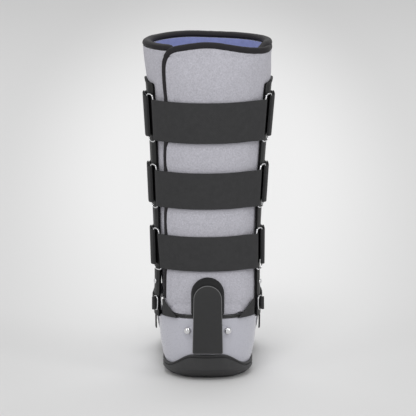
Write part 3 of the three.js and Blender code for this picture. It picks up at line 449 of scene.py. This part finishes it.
sides = [outline_point(row, 1) for row in FOOT_PLAN]
sides += [outline_point(row, -1) for row in reversed(FOOT_PLAN[1:-1])]
OUTLINE = evenly(smooth_loop(sides, 40), OUTLINE_POINTS)
OUTWARD = []
for k in range(OUTLINE_POINTS):
    run = OUTLINE[(k + 1) % OUTLINE_POINTS] - OUTLINE[k - 1]
    OUTWARD.append(Vector((run.y, -run.x, 0)).normalized())
SHARE = [p.y / FOOT_LENGTH + 0.5 for p in OUTLINE]


def ring(inset, height):
    """The outline moved in by inset(k) and lifted to height(k), both in mm."""
    points = []
    for k in range(OUTLINE_POINTS):
        p = OUTLINE[k] - OUTWARD[k] * inset(k)
        points.append((p + Vector((FOOT_MIDDLE.x, FOOT_MIDDLE.y, height(k)))) * MM)
    return points


print("outline", OUTLINE_POINTS, "points round", [round(c, 2) for c in FOOT_MIDDLE])

# %% [markdown]
# ## Sole
#
# The rubber sole is a shallow tray under the shell. It curls up at the heel into a bumper and
# rocks up at the toe. Rings from the tread up to the lip and down inside make the tray, with a
# narrow step under the lip that shows as a dark line.

# %% Sole
SOLE_LIP = 2.6
SOLE_BASE = 16
SOLE_SIDE = {"top": 18.5, "inset": 6}
BUMPER = {"top": 35.8, "half_width": 19, "shoulder": 40}
BEVEL = {"side": (8, 6), "heel": (16, 26), "toe": (15, 62), "heel_reach": 0.35,
         "toe_start": 0.72}
BEVEL_CORNER = {"less": 0.45, "from": 18, "to": 50}
BEVEL_PROFILE = [(0, 1), (0.12, 0.8), (0.42, 0.42), (0.8, 0.1), (1, 0), (1.1, 0)]
LIP_PROFILE = [(0, 5.0), (0.1, 4.3), (1.3, 3.7), (1.3, 2.7), (0.1, 2.2), (0, 1.4), (0.25, 0.4),
               (0.9, 0), (SOLE_LIP - 0.3, 0), (SOLE_LIP, 0.4)]


def bumper_share(k):
    """1 where the heel's bumper stands full, 0 along the sides."""
    if 0.25 <= SHARE[k] <= 0.8:
        return 0
    reach = BUMPER["half_width"] + BUMPER["shoulder"]
    return 1 - eased(abs(OUTLINE[k].x), BUMPER["half_width"], reach)


def sole_inset(k):
    return SOLE_SIDE["inset"] * (1 - bumper_share(k))


def sole_top(k):
    return SOLE_SIDE["top"] + (BUMPER["top"] - SOLE_SIDE["top"]) * bumper_share(k)


def tread_bevel(k):
    """Height and run of the bevel round the tread at a point of the outline."""
    heel = 1 - eased(SHARE[k], 0, BEVEL["heel_reach"])
    heel *= 1 - BEVEL_CORNER["less"] * eased(abs(OUTLINE[k].x), BEVEL_CORNER["from"],
                                             BEVEL_CORNER["to"])
    toe = eased(SHARE[k], BEVEL["toe_start"], 1)
    side = BEVEL["side"]
    return [side[n] + heel * (BEVEL["heel"][n] - side[n]) + toe * (BEVEL["toe"][n] - side[n])
            for n in (0, 1)]


def sole_ring(inward, drop):
    """A ring near the top of the sole, moved in and down from its edge."""
    return ring(lambda k: sole_inset(k) + inward, lambda k: sole_top(k) - drop)


def bevel_ring(rise, inward):
    """A ring on the tread's bevel, by its shares of the height and of the run."""
    return ring(lambda k: sole_inset(k) + inward * tread_bevel(k)[1],
                lambda k: rise * tread_bevel(k)[0])


sole = stack([bevel_ring(*row) for row in BEVEL_PROFILE]
             + [sole_ring(*row) for row in LIP_PROFILE]
             + [ring(lambda k: sole_inset(k) + SOLE_LIP, lambda k: SOLE_BASE)])
print("sole", len(sole.faces), "faces before its grooves")

# %% [markdown]
# Grooves along the tread give grip and let the rubber bend. Each one is cut by bisecting the
# bottom along its two edges and pushing the strip between the cuts inwards, which keeps the sole
# one closed skin.

# %% Tread grooves
GROOVES = [-53.7, -29.2, -4.7, 19.8, 44.3]
GROOVE = {"width": 3.2, "depth": 2.4, "facing_down": 0.25}

for centre in GROOVES:
    for edge in (-1, 1):
        x = (centre + FOOT_MIDDLE.x + edge * GROOVE["width"] / 2) * MM
        bmesh.ops.bisect_plane(sole, geom=sole.verts[:] + sole.edges[:] + sole.faces[:],
                               dist=1e-6, plane_co=(x, 0, 0), plane_no=(1, 0, 0))


def in_groove(face):
    """True for a face of the tread or its bevel that lies between two cuts."""
    middle = face.calc_center_median() / MM
    near = min(abs(middle.x - FOOT_MIDDLE.x - centre) for centre in GROOVES)
    in_strip = near < GROOVE["width"] / 2 and middle.z < GROOVE["depth"]
    return in_strip and face.normal.z < -GROOVE["facing_down"]


strips = bmesh.ops.extrude_face_region(sole, geom=[f for f in sole.faces if in_groove(f)])["geom"]
bmesh.ops.translate(sole, vec=(0, 0, GROOVE["depth"] * MM),
                    verts=[v for v in strips if isinstance(v, bmesh.types.BMVert)])
left_below = [f for f in sole.faces if in_groove(f) and f.calc_center_median().z < 0.1 * MM]
bmesh.ops.delete(sole, geom=left_below, context="FACES_KEEP_BOUNDARY")
place("rocker_sole", sole, [RUBBER], ["sole"], crease=32)

# %% [markdown]
# ## Shell and rim trim
#
# The shell is one moulding: a cup at the heel, ears at the ankle and low walls to the toe. Its
# edge height comes from a table along the foot, smoothed by averaging neighbours.

# %% Shell
SHELL_WALL = 3
GAP = 0.3
EDGE_TABLE = [(0.0, 84), (0.11, 82), (0.185, 82), (0.225, 94), (0.25, 99), (0.3, 96),
              (0.36, 78), (0.48, 59), (0.6, 49), (0.82, 44), (1.0, 43)]
STEP_TABLE = [(0.0, 1.0), (0.14, 0.62), (0.4, 0.28), (1.0, 0.0)]
SMOOTHINGS = 5
RISES = [0.0, 0.05, 0.12, 0.2, 0.32, 0.48, 0.65, 0.82, 0.93]


def between(table, at):
    """Reads a table of pairs at a place between its rows."""
    for (a, low), (b, high) in zip(table, table[1:]):
        if at <= b:
            return low + (high - low) * max(0, at - a) / (b - a)
    return table[-1][1]


EDGE_HEIGHT = [between(EDGE_TABLE, share) for share in SHARE]
for _ in range(SMOOTHINGS):
    EDGE_HEIGHT = [(EDGE_HEIGHT[k - 1] + 2 * h + EDGE_HEIGHT[(k + 1) % OUTLINE_POINTS]) / 4
                   for k, h in enumerate(EDGE_HEIGHT)]


def wall_ring(rise, inward, drop=0):
    """A ring on the shell's wall: rise 0 at the sole's lip and 1 at the edge."""
    step = between(STEP_TABLE, rise)
    low = [sole_top(k) + GAP for k in range(OUTLINE_POINTS)]
    return ring(lambda k: (sole_inset(k) + SOLE_LIP + GAP) * step + inward,
                lambda k: low[k] + (EDGE_HEIGHT[k] - low[k]) * rise - drop)


def floor_ring(inward, height):
    return ring(lambda k: sole_inset(k) + SOLE_LIP + GAP + inward, lambda k: height)


shell = stack(
    [floor_ring(0, SOLE_BASE + GAP)]
    + [wall_ring(r, 0) for r in RISES]
    + [wall_ring(1, 0, 1.0), wall_ring(1, 0.3, 0.3), wall_ring(1, 1.0), wall_ring(1, SHELL_WALL)]
    + [wall_ring(r, SHELL_WALL) for r in reversed(RISES)]
    + [floor_ring(SHELL_WALL, SOLE_BASE + GAP + SHELL_WALL)])
place("shell_tray", shell, [SHELL], ["shell"], crease=60)

# %% [markdown]
# The trim is an extruded rubber edge pushed over the shell's wall, so it is a closed profile
# swept round: the same rings as the wall's edge, moved in and up by each point of the profile.

# %% Rim trim
TRIM_PROFILE = [(-0.8, 0.3), (-1.0, 1.2), (-0.9, 2.0), (-0.45, 2.35), (-0.9, 2.7), (-0.9, 3.6),
                (-0.4, 4.4), (0.6, 4.8), (1.8, 4.7), (2.7, 4.0), (3.0, 2.6), (3.0, 0.3)]
trim = stack([ring(lambda k: inward, lambda k: EDGE_HEIGHT[k] + up)
              for inward, up in TRIM_PROFILE], closed=True)
place("rim_edge_trim", trim, [GLOSS], ["rim_trim"], crease=60)

# %% [markdown]
# ## Liner, flap and lining
#
# The liner is foam with brushed fabric on it. Straps squeeze it, so it puffs out a little in
# the gaps between them and is pinched at their edges. The welded copy is subdivided until it is
# smooth, and then its outer points are moved outwards by a smooth function of height and angle.
# The flap lies on the liner, so the same function moves both and they stay together.

# %% Puff between the straps
LEG_Y = -76.4 + FOOT_MIDDLE.y
PUFFS = [(102, 144.5, 2.0), (190, 226.5, 2.8), (274.5, 313.5, 3.0), (367, 425, 1.8)]
STRAP_EDGES = [(144.5, 190.0), (226.5, 274.5), (313.5, 367.0)]
UPRIGHT_ANGLES = {"from": (44, 57), "to": (130, 142)}
PUFF_POWER = 0.6
CRUMPLE = {"deep": 0.55, "reach": 5, "along": 60, "up": 210}
SOFT_WAVE = {"deep": 0.5, "scale": 28}
PINCH = {"deep": 1.5, "reach": 3.0}


def leg_angle(p):
    """Degrees round the leg from the heel line, for a point in metres."""
    return math.degrees(math.atan2(p.x - FOOT_MIDDLE.x * MM, LEG_Y * MM - p.y))


def puff(p):
    """How far the cloth stands out at a point, as a vector in metres."""
    angle, z = abs(leg_angle(p)), p.z / MM
    open_side = 1 - eased(angle, *UPRIGHT_ANGLES["from"]) + eased(angle, *UPRIGHT_ANGLES["to"])
    out = 0
    for low, high, most in PUFFS:
        if low < z < high:
            share, from_strap = (z - low) / (high - low), min(z - low, high - z)
            out = most * math.sin(math.pi * share) ** PUFF_POWER
            crumple = noise.noise(Vector((p.x * CRUMPLE["along"], p.y * CRUMPLE["along"],
                                          p.z * CRUMPLE["up"])))
            fade = math.exp(-from_strap / CRUMPLE["reach"]) * eased(out, 0, 0.5)
            out += CRUMPLE["deep"] * crumple * fade
            out += SOFT_WAVE["deep"] * noise.noise(p * SOFT_WAVE["scale"])
            out -= PINCH["deep"] * math.exp(-from_strap / PINCH["reach"])
    away = Vector((p.x - FOOT_MIDDLE.x * MM, p.y - LEG_Y * MM, 0)).normalized()
    return away * out * open_side * MM


print("puff of", len(PUFFS), "gaps ready")

# %% [markdown]
# At the mouth of the leg the cloth gives way. The flap's middle stands up and leans in, the edge
# under the flap is pressed down behind it, and the whole mouth is a little wider than the calf.
# Bells, which are exponentials of a squared distance, and eased steps keep these moves smooth.

# %% The mouth of the leg
RIM_LEVELS = (388, 430)
NEAR_ANGLES = (60, 90)
LEAN = {"most": 5, "width": 34}
FLAP_RISE = {"most": 4.4, "width": 36}
FLAP_TUCK = {"most": 5.4, "angles": (60, 84)}
EDGE_DROP = {"most": 8.5, "left": (-46, -33), "right": (58, 78)}
FAR_RISE = {"most": 1.6, "middle": -30, "width": 30}
FLARE = {"most": 4.6, "half_width": 79, "levels": (366, 436)}


def bell(distance, width):
    return math.exp(-(distance / width) ** 2)


def rim_form(p, on_flap):
    """How the mouth gives way at a point, on the flap or on what lies under it."""
    angle, x, z = leg_angle(p), p.x / MM - FOOT_MIDDLE.x, p.z / MM
    near = 1 - eased(abs(angle), *NEAR_ANGLES)
    move = Vector((0, LEAN["most"] * bell(x, LEAN["width"]) * near, 0))
    if on_flap:
        move.z = FLAP_RISE["most"] * bell(x, FLAP_RISE["width"])
        inward = FLAP_TUCK["most"] * eased(angle, *FLAP_TUCK["angles"])
        move -= Vector((p.x, p.y - LEG_Y * MM, 0)).normalized() * inward
    else:
        under_flap = eased(angle, *EDGE_DROP["left"]) * (1 - eased(angle, *EDGE_DROP["right"]))
        move.z = -EDGE_DROP["most"] * under_flap
        move.z += FAR_RISE["most"] * bell(x - FAR_RISE["middle"], FAR_RISE["width"]) * (1 - near)
    flare = x / FLARE["half_width"] * FLARE["most"] * eased(z, *FLARE["levels"])
    return (move * eased(z, *RIM_LEVELS) + Vector((flare, 0, 0))) * MM


print("mouth of the leg ready")

# %% [markdown]
# Beside a strap's edge the cloth is painted darker: painted shade where the strap's edge
# overhangs the puffed cloth. A number in each point's own layer says how much, and the finish
# reads it, so that the line follows the strap round the leg. One function then writes that
# number and makes all the moves, for every piece of the outer cloth.

# %% Painted shade beside the straps
STRAP_SHADE = {"below": 0.9, "below_reach": 4, "above": 0.5, "above_reach": 2.5}
FACING_OUT = 0.2


def strap_shade_at(p):
    """How much painted shade darkens the cloth at a point, beside the straps' edges."""
    z, most = p.z / MM, 0
    for low, high in STRAP_EDGES:
        if z < (low + high) / 2:
            share = STRAP_SHADE["below"] * math.exp(-max(0, low - z) / STRAP_SHADE["below_reach"])
        else:
            share = STRAP_SHADE["above"] * math.exp(-max(0, z - high) / STRAP_SHADE["above_reach"])
        most = max(most, share)
    return most


def puffed(bm, only_outer):
    """Moves a piece's points by the puff and the mouth's form. With only_outer, the puff moves
    just the points that look outwards, and the piece lies under the flap."""
    # This layer holds the painted shade beside the straps, which the liner's finish reads.
    painted_strap_shade = bm.verts.layers.float.new("painted_strap_shade")
    bm.normal_update()
    for vert in bm.verts:
        vert[painted_strap_shade] = strap_shade_at(vert.co)
        away = Vector((vert.co.x, vert.co.y - LEG_Y * MM, 0)).normalized()
        rim = rim_form(vert.co, not only_outer)
        if not only_outer or vert.normal.dot(away) > FACING_OUT:
            vert.co += puff(vert.co)
        vert.co += rim
    return bm


print("painted strap shade ready")

# %% [markdown]
# The flap's foot is drawn down behind the heel gussets and the rim of the shell, and its top is
# lifted into its edge tape, so that no slit shows along either.

# %% Liner and flap
FLAP_FOOT = {"middle": 91, "side": 106, "angles": (34, 56), "hidden": 87, "until": 120}
FLAP_TOP = {"lift": 1.6, "levels": (418, 432)}

liner_mesh = welded("liner")
soften(liner_mesh, 1.2, 60)
liner = place("padded_liner", puffed(subdivided(liner_mesh, 2), True), [LINER], ["liner"])
flap_mesh = welded("liner_flap")
soften(flap_mesh, 0.9)
flap_mesh = puffed(subdivided(flap_mesh, 3), False)
for vert in flap_mesh.verts:
    z, until = vert.co.z / MM, FLAP_FOOT["until"]
    share = eased(abs(leg_angle(vert.co)), *FLAP_FOOT["angles"])
    foot = FLAP_FOOT["middle"] + (FLAP_FOOT["side"] - FLAP_FOOT["middle"]) * share
    if z < until:
        vert.co.z -= (foot - FLAP_FOOT["hidden"]) * min(1, (until - z) / (until - foot)) * MM
    vert.co.z += FLAP_TOP["lift"] * eased(z, *FLAP_TOP["levels"]) * MM
flap = place("overlap_flap", flap_mesh, [LINER], ["liner_flap"])

# %% [markdown]
# The lining is a thin cloth inside the foam. It is subdivided in the same way and follows the
# mouth's form.


lining_mesh = welded("lining")
soften(lining_mesh, 0.4)
lining_mesh = subdivided(lining_mesh, 2)
for vert in lining_mesh.verts:
    vert.co += rim_form(vert.co, False)
lining = place("blue_lining", lining_mesh, [LINING], ["lining"])

# %% [markdown]
# ## Bound edges
#
# A folded tape is sewn over each raw edge of the foam. Subdividing the few-sided solid rounds
# it, and a slight ripple along it is the pull of its stitches.

# %% Bindings
STITCH = {"pitch": 3.4, "deep": 0.1}
TAPE_RADIUS = 75
FRAY_SCALE = 400


def rippled(bm, pitch, deep, swell=0.0):
    """Fattens a round tape, and pulls it in and out a little along it, as its stitches do."""
    bm.normal_update()
    moves = []
    for vert in bm.verts:
        along = math.radians(leg_angle(vert.co)) * TAPE_RADIUS * MM
        wave = math.sin(2 * math.pi * (along + vert.co.z) / (pitch * MM))
        fray = noise.noise(vert.co * FRAY_SCALE)
        moves.append(vert.normal * MM * (swell + deep * (wave + fray)))
    for vert, move in zip(bm.verts, moves):
        vert.co += move
    return bm


top_tape = subdivided(welded("top_binding"), 2)
for vert in top_tape.verts:
    vert.co += rim_form(vert.co, False)
place("top_edge_tape", rippled(top_tape, **STITCH, swell=0.5), [BINDING], ["top_binding"])
flap_tape = puffed(subdivided(welded("flap_binding"), 2), False)
place("flap_edge_tape", rippled(flap_tape, **STITCH, swell=1.4), [BINDING], ["flap_binding"])
toe_tape = subdivided(welded("toe_binding"), 2)
place("toe_edge_tape", rippled(toe_tape, **STITCH), [BINDING], ["toe_binding"])

# %% [markdown]
# ## Webbing straps
#
# Each strap is a flat woven band whose path is already right in its solid. It only needs soft
# edges and a fine surface. Its flat map is wrapped round the leg, so that the weave runs along
# the band, whatever way it turns.

# %% Straps
STRAP_WIDTHS = {"top": 0.0535, "middle": 0.048, "lower": 0.0455}
BAND_RADIUS = 70
ARCH_CENTRE_Z = 40


def wrapped(bm, middle, first, second, across):
    """Gives a band a flat map: round an axis through middle, and straight across it."""
    flat = bm.loops.layers.uv.new("weave")

    def turn(p):
        return math.atan2(p[first] - middle[0], p[second] - middle[1])

    for face in bm.faces:
        start = turn(face.calc_center_median())
        for loop in face.loops:
            angle = turn(loop.vert.co)
            angle += 2 * math.pi * round((start - angle) / (2 * math.pi))
            loop[flat].uv = (angle * BAND_RADIUS * MM, loop.vert.co[across])
    return bm


def strap(name, node, round_foot=False):
    """One webbing band in the place of its solid."""
    bm = welded(node)
    soften(bm, 0.35)
    bm = subdivided(bm, 2)
    if round_foot:
        wrapped(bm, (FOOT_MIDDLE.x * MM, ARCH_CENTRE_Z * MM), 0, 2, 1)
    else:
        wrapped(bm, (FOOT_MIDDLE.x * MM, LEG_Y * MM), 0, 1, 2)
    piece = place(name, bm, [WEBBING], [node])
    return piece


for level, width in STRAP_WIDTHS.items():
    strap(f"calf_strap_{level}", f"rear_strap_{level}")
    strap(f"shin_strap_{level}", f"front_strap_{level}")
strap("instep_strap", "ankle_strap")
strap("toe_strap", "forefoot_strap", round_foot=True)

# %% [markdown]
# The heel gussets are small webbing triangles over the flap. Their solids are lifted off the
# flap, their feet are drawn down behind the shell's rim, and the feet's inner corners are swung
# inwards about the leg, which gives the slanting edge.

# %% Heel gussets
GUSSET = {"proud": 1.7, "foot_zone": 1, "drop": 5, "swing": 5.0, "swing_angles": (56, 32),
          "width": 0.016}

for side in ("left", "right"):
    bm = welded(f"heel_gusset_{side}")
    foot = min(v.co.z for v in bm.verts)
    for vert in bm.verts:
        away = Vector((vert.co.x, vert.co.y - LEG_Y * MM, 0)).normalized()
        vert.co += away * GUSSET["proud"] * MM
        if vert.co.z < foot + GUSSET["foot_zone"] * MM:
            vert.co.z -= GUSSET["drop"] * MM
            angle = leg_angle(vert.co)
            swing = GUSSET["swing"] * eased(abs(angle), *GUSSET["swing_angles"])
            turned = Matrix.Rotation(math.radians(-math.copysign(swing, angle)), 3, "Z")
            bmesh.ops.rotate(bm, verts=[vert], cent=(FOOT_MIDDLE.x * MM, LEG_Y * MM, 0),
                             matrix=turned)
    soften(bm, 0.3)
    wrapped(bm, (FOOT_MIDDLE.x * MM, LEG_Y * MM), 0, 1, 2)
    gusset = place(f"heel_gusset_web_{side}", bm, [WEBBING], [f"heel_gusset_{side}"], crease=50)

# %% [markdown]
# ## Uprights and rings
#
# The uprights are moulded strips with a shallow panel sunk in the outer face, which stiffens
# them. Insetting the outer faces and pushing them in gives that panel. The near corner of each
# top has a smaller radius than in the solid, so its points are drawn up towards the top. The
# rings are bent wire: subdividing turns their six sides round.

# %% Uprights and rings
PANEL = {"margin": 2.6, "depth": 0.7, "facing": 0.6, "least_area": 4e-6}
TOP_CORNER = {"share": 0.65, "reach": 36, "beside": (2, 16)}
ANKLE_WIRE_SHARES = (0.78, 1, 0.7)

for side in ("left", "right"):
    bm = welded(f"strut_{side}")
    bm.normal_update()
    outer = []
    for face in bm.faces:
        middle = face.calc_center_median()
        away = Vector((middle.x, middle.y - LEG_Y * MM, 0)).normalized()
        if face.normal.dot(away) > PANEL["facing"] and face.calc_area() > PANEL["least_area"]:
            outer.append(face)
    soften(bm, 0.5)
    outer = [f for f in outer if f.is_valid]
    bmesh.ops.inset_region(bm, faces=outer, thickness=PANEL["margin"] * MM,
                           depth=-PANEL["depth"] * MM, use_even_offset=True)
    bm = subdivided(bm, 2)
    top = max(v.co.z for v in bm.verts) / MM
    near = min(v.co.y for v in bm.verts) / MM
    for vert in bm.verts:
        down = top - vert.co.z / MM
        beside = 1 - eased(vert.co.y / MM - near, *TOP_CORNER["beside"])
        lift = min(down, max(0, TOP_CORNER["reach"] - down))
        vert.co.z += TOP_CORNER["share"] * beside * lift * MM
    place(f"upright_{side}", bm, [UPRIGHT], [f"strut_{side}"])
for level in ("top", "middle", "lower"):
    for side in ("left", "right"):
        place(f"wire_ring_{level}_{side}", subdivided(welded(f"ring_{level}_{side}"), 2),
              [CHROME], [f"ring_{level}_{side}"])
for side in ("left", "right"):
    bm = subdivided(welded(f"ankle_ring_{side}"), 2)
    middle = sum((v.co for v in bm.verts), Vector()) / len(bm.verts)
    bmesh.ops.scale(bm, vec=ANKLE_WIRE_SHARES, space=Matrix.Translation(-middle), verts=bm.verts)
    place(f"ankle_wire_{side}", bm, [CHROME], [f"ankle_ring_{side}"])

# %% [markdown]
# ## Backstay
#
# A flat moulded plate with a round top stands up the heel, in front of a soft pad. Its outline
# starts as a disc, loses its lower half to a bisect, and the cut edge is extruded down to the
# foot of the plate. Its rim is bevelled, and the bevel gets a paler finish: a painted highlight.

# %% Backstay plate
PLATE_FOOT = {"z": 38.4, "half_width": 19.9, "corner": 2.5}
PLATE_HEAD = {"top": 129, "half_width": 18.3}


def arch(head_top, head_half, foot_z, foot_half, corner):
    """A flat face in the XZ plane with a half round head and a straight foot."""
    bm = bmesh.new()
    head = (head_top - head_half) * MM
    bmesh.ops.create_circle(bm, cap_ends=True, segments=72, radius=head_half * MM)
    bmesh.ops.rotate(bm, verts=bm.verts, cent=(0, 0, 0),
                     matrix=Matrix.Rotation(math.pi / 2, 3, "X"))
    bmesh.ops.translate(bm, verts=bm.verts, vec=(0, 0, head))
    bmesh.ops.bisect_plane(bm, geom=bm.verts[:] + bm.edges[:] + bm.faces[:], dist=1e-7,
                           plane_co=(0, 0, head), plane_no=(0, 0, -1), clear_outer=True)
    cut = [e for e in bm.edges if all(abs(v.co.z - head) < 1e-6 for v in e.verts)]
    grown = bmesh.ops.extrude_edge_only(bm, edges=cut)["geom"]
    low = [v for v in grown if isinstance(v, bmesh.types.BMVert)]
    for vert in low:
        vert.co.z = foot_z * MM
        vert.co.x *= foot_half / head_half
    bmesh.ops.dissolve_limit(bm, angle_limit=0.01, verts=bm.verts, edges=bm.edges)
    corners = [v for v in bm.verts if abs(v.co.z - foot_z * MM) < 1e-6]
    bmesh.ops.bevel(bm, geom=corners, offset=corner * MM, offset_type="OFFSET", segments=4,
                    profile=0.5, affect="VERTICES", material=-1)
    return bm


plate_low, plate_high = (Vector(c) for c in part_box("backstay_plate"))
plate = arch(PLATE_HEAD["top"], PLATE_HEAD["half_width"], PLATE_FOOT["z"],
             PLATE_FOOT["half_width"], PLATE_FOOT["corner"])
bmesh.ops.translate(plate, verts=plate.verts, vec=(FOOT_MIDDLE.x * MM, plate_high.y, 0))
grown = bmesh.ops.extrude_face_region(plate, geom=plate.faces[:])["geom"]
bmesh.ops.translate(plate, vec=(0, plate_low.y - plate_high.y, 0),
                    verts=[v for v in grown if isinstance(v, bmesh.types.BMVert)])
bmesh.ops.recalc_face_normals(plate, faces=plate.faces)
# The bevel's faces on the outer side take the paler finish, a painted highlight along the rim.
for face in soften(plate, 0.75, 60, 3):
    if face.calc_center_median().y < (plate_low.y + plate_high.y) / 2:
        face.material_index = 1
place("backstay_plate_moulded", plate, [PLATE, PLATE_EDGE_HIGHLIGHT], ["backstay_plate"], crease=50)

# %% [markdown]
# The pad behind the plate is soft. The same outline, cut into a fine grid, is laid on the flap by
# casting a ray at the flap from behind each point, and its thickness swells towards its middle.

# %% Backstay pad
PAD = {"top": 137, "half_width": 21.5, "foot": 89.8, "thick": 10.2, "seat": 0.6, "corner": 2}
PAD_GRID = {"pitch": 3.1, "up": range(1, 15), "across": range(-6, 7)}
PAD_EDGE = {"share": 0.35, "round": 5, "behind_plate": 0.2}
flap_copy = bmesh.new()
flap_copy.from_mesh(flap.data)
liner_copy = bmesh.new()
liner_copy.from_mesh(liner.data)
SEATS = [BVHTree.FromBMesh(flap_copy), BVHTree.FromBMesh(liner_copy)]


def heel_face(x, z):
    """How far back the flap or the liner reaches at a place on the heel side, in metres."""
    hits = [seat.ray_cast(Vector((x, -1, z)), Vector((0, 1, 0)))[0] for seat in SEATS]
    return min(hit.y for hit in hits if hit)


pad = arch(PAD["top"], PAD["half_width"], PAD["foot"], PAD["half_width"], PAD["corner"])
for step in PAD_GRID["up"]:
    z = (PAD["foot"] + step * PAD_GRID["pitch"]) * MM
    bmesh.ops.bisect_plane(pad, geom=pad.verts[:] + pad.edges[:] + pad.faces[:], dist=1e-7,
                           plane_co=(0, 0, z), plane_no=(0, 0, 1))
for step in PAD_GRID["across"]:
    x = step * PAD_GRID["pitch"] * MM
    bmesh.ops.bisect_plane(pad, geom=pad.verts[:] + pad.edges[:] + pad.faces[:], dist=1e-7,
                           plane_co=(x, 0, 0), plane_no=(1, 0, 0))
grown = bmesh.ops.extrude_face_region(pad, geom=pad.faces[:])["geom"]
raised = {v for v in grown if isinstance(v, bmesh.types.BMVert)}
arch_z = PAD["top"] - PAD["half_width"]
for vert in pad.verts:
    x, z = vert.co.x / MM, vert.co.z / MM
    from_edge = PAD["half_width"] - math.hypot(x, max(0, z - arch_z))
    swell = math.sqrt(1 - (1 - min(1, max(0.0, from_edge) / PAD_EDGE["round"])) ** 2)
    thick = (PAD_EDGE["share"] + (1 - PAD_EDGE["share"]) * swell) * PAD["thick"]
    out = PAD["seat"] + (thick if vert in raised else 0)
    vert.co.x += FOOT_MIDDLE.x * MM
    vert.co.y = max(heel_face(vert.co.x, vert.co.z) - out * MM,
                    plate_high.y + PAD_EDGE["behind_plate"] * MM)
bmesh.ops.recalc_face_normals(pad, faces=pad.faces)
pad_piece = place("backstay_soft_pad", pad, [PAD_CLOTH], ["backstay_pad"], crease=70)
flap_copy.free()
liner_copy.free()

# %% [markdown]
# The small plate under the backstay is of the shell's own plastic, and only its edges are rounded.

# %% Anchor plate
bm = welded("anchor_plate")
soften(bm, 0.5, 40, 3)
place("heel_anchor", bm, [SHELL], ["anchor_plate"], crease=40)

# %% [markdown]
# ## Rivets
#
# A rivet's head is a turned shape, so its profile is drawn once and spun. Each copy is turned
# to face the way that its solid faces: away from the largest flat side, which is its base.

# %% Rivets
RIVET_PROFILE = [(0, 0), (1.0, 0), (1.0, 0.12), (0.94, 0.42), (0.8, 0.68), (0.58, 0.86),
                 (0.3, 0.97), (0, 1.0)]
HEEL_RIVET = {"radius": 4.7, "height": 2.9}
UPRIGHT_RIVET = {"radius": 3.4, "height": 1.8}


def rivet(name, node, radius, height):
    """A dome-headed rivet that stands where the solid one does."""
    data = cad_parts[node].data
    flats = {}
    for face in data.polygons:
        key = tuple(round(c, 2) for c in face.normal)
        flats[key] = flats.get(key, 0) + face.area
    towards = -Vector(max(flats, key=flats.get)).normalized()
    low = min(towards.dot(v.co) for v in data.vertices)
    base = [v.co for v in data.vertices if towards.dot(v.co) - low < 1e-5]
    middle = sum(base, Vector()) / len(base)
    bm = bmesh.new()
    points = [bm.verts.new((r * radius * MM, 0, h * height * MM)) for r, h in RIVET_PROFILE]
    line = [bm.edges.new(pair) for pair in zip(points, points[1:])]
    bmesh.ops.spin(bm, geom=points + line, cent=(0, 0, 0), axis=(0, 0, 1), dvec=(0, 0, 0),
                   angle=2 * math.pi, steps=32, use_merge=True)
    bmesh.ops.remove_doubles(bm, verts=bm.verts, dist=1e-6)
    turned = towards.to_track_quat("Z", "Y").to_matrix()
    bmesh.ops.rotate(bm, verts=bm.verts, cent=(0, 0, 0), matrix=turned)
    bmesh.ops.translate(bm, verts=bm.verts, vec=middle)
    bmesh.ops.recalc_face_normals(bm, faces=bm.faces)
    place(name, bm, [CHROME], [node], crease=60)


for side in ("left", "right"):
    rivet(f"heel_rivet_head_{side}", f"heel_rivet_{side}", **HEEL_RIVET)
    rivet(f"upright_rivet_head_{side}", f"strut_rivet_{side}", **UPRIGHT_RIVET)
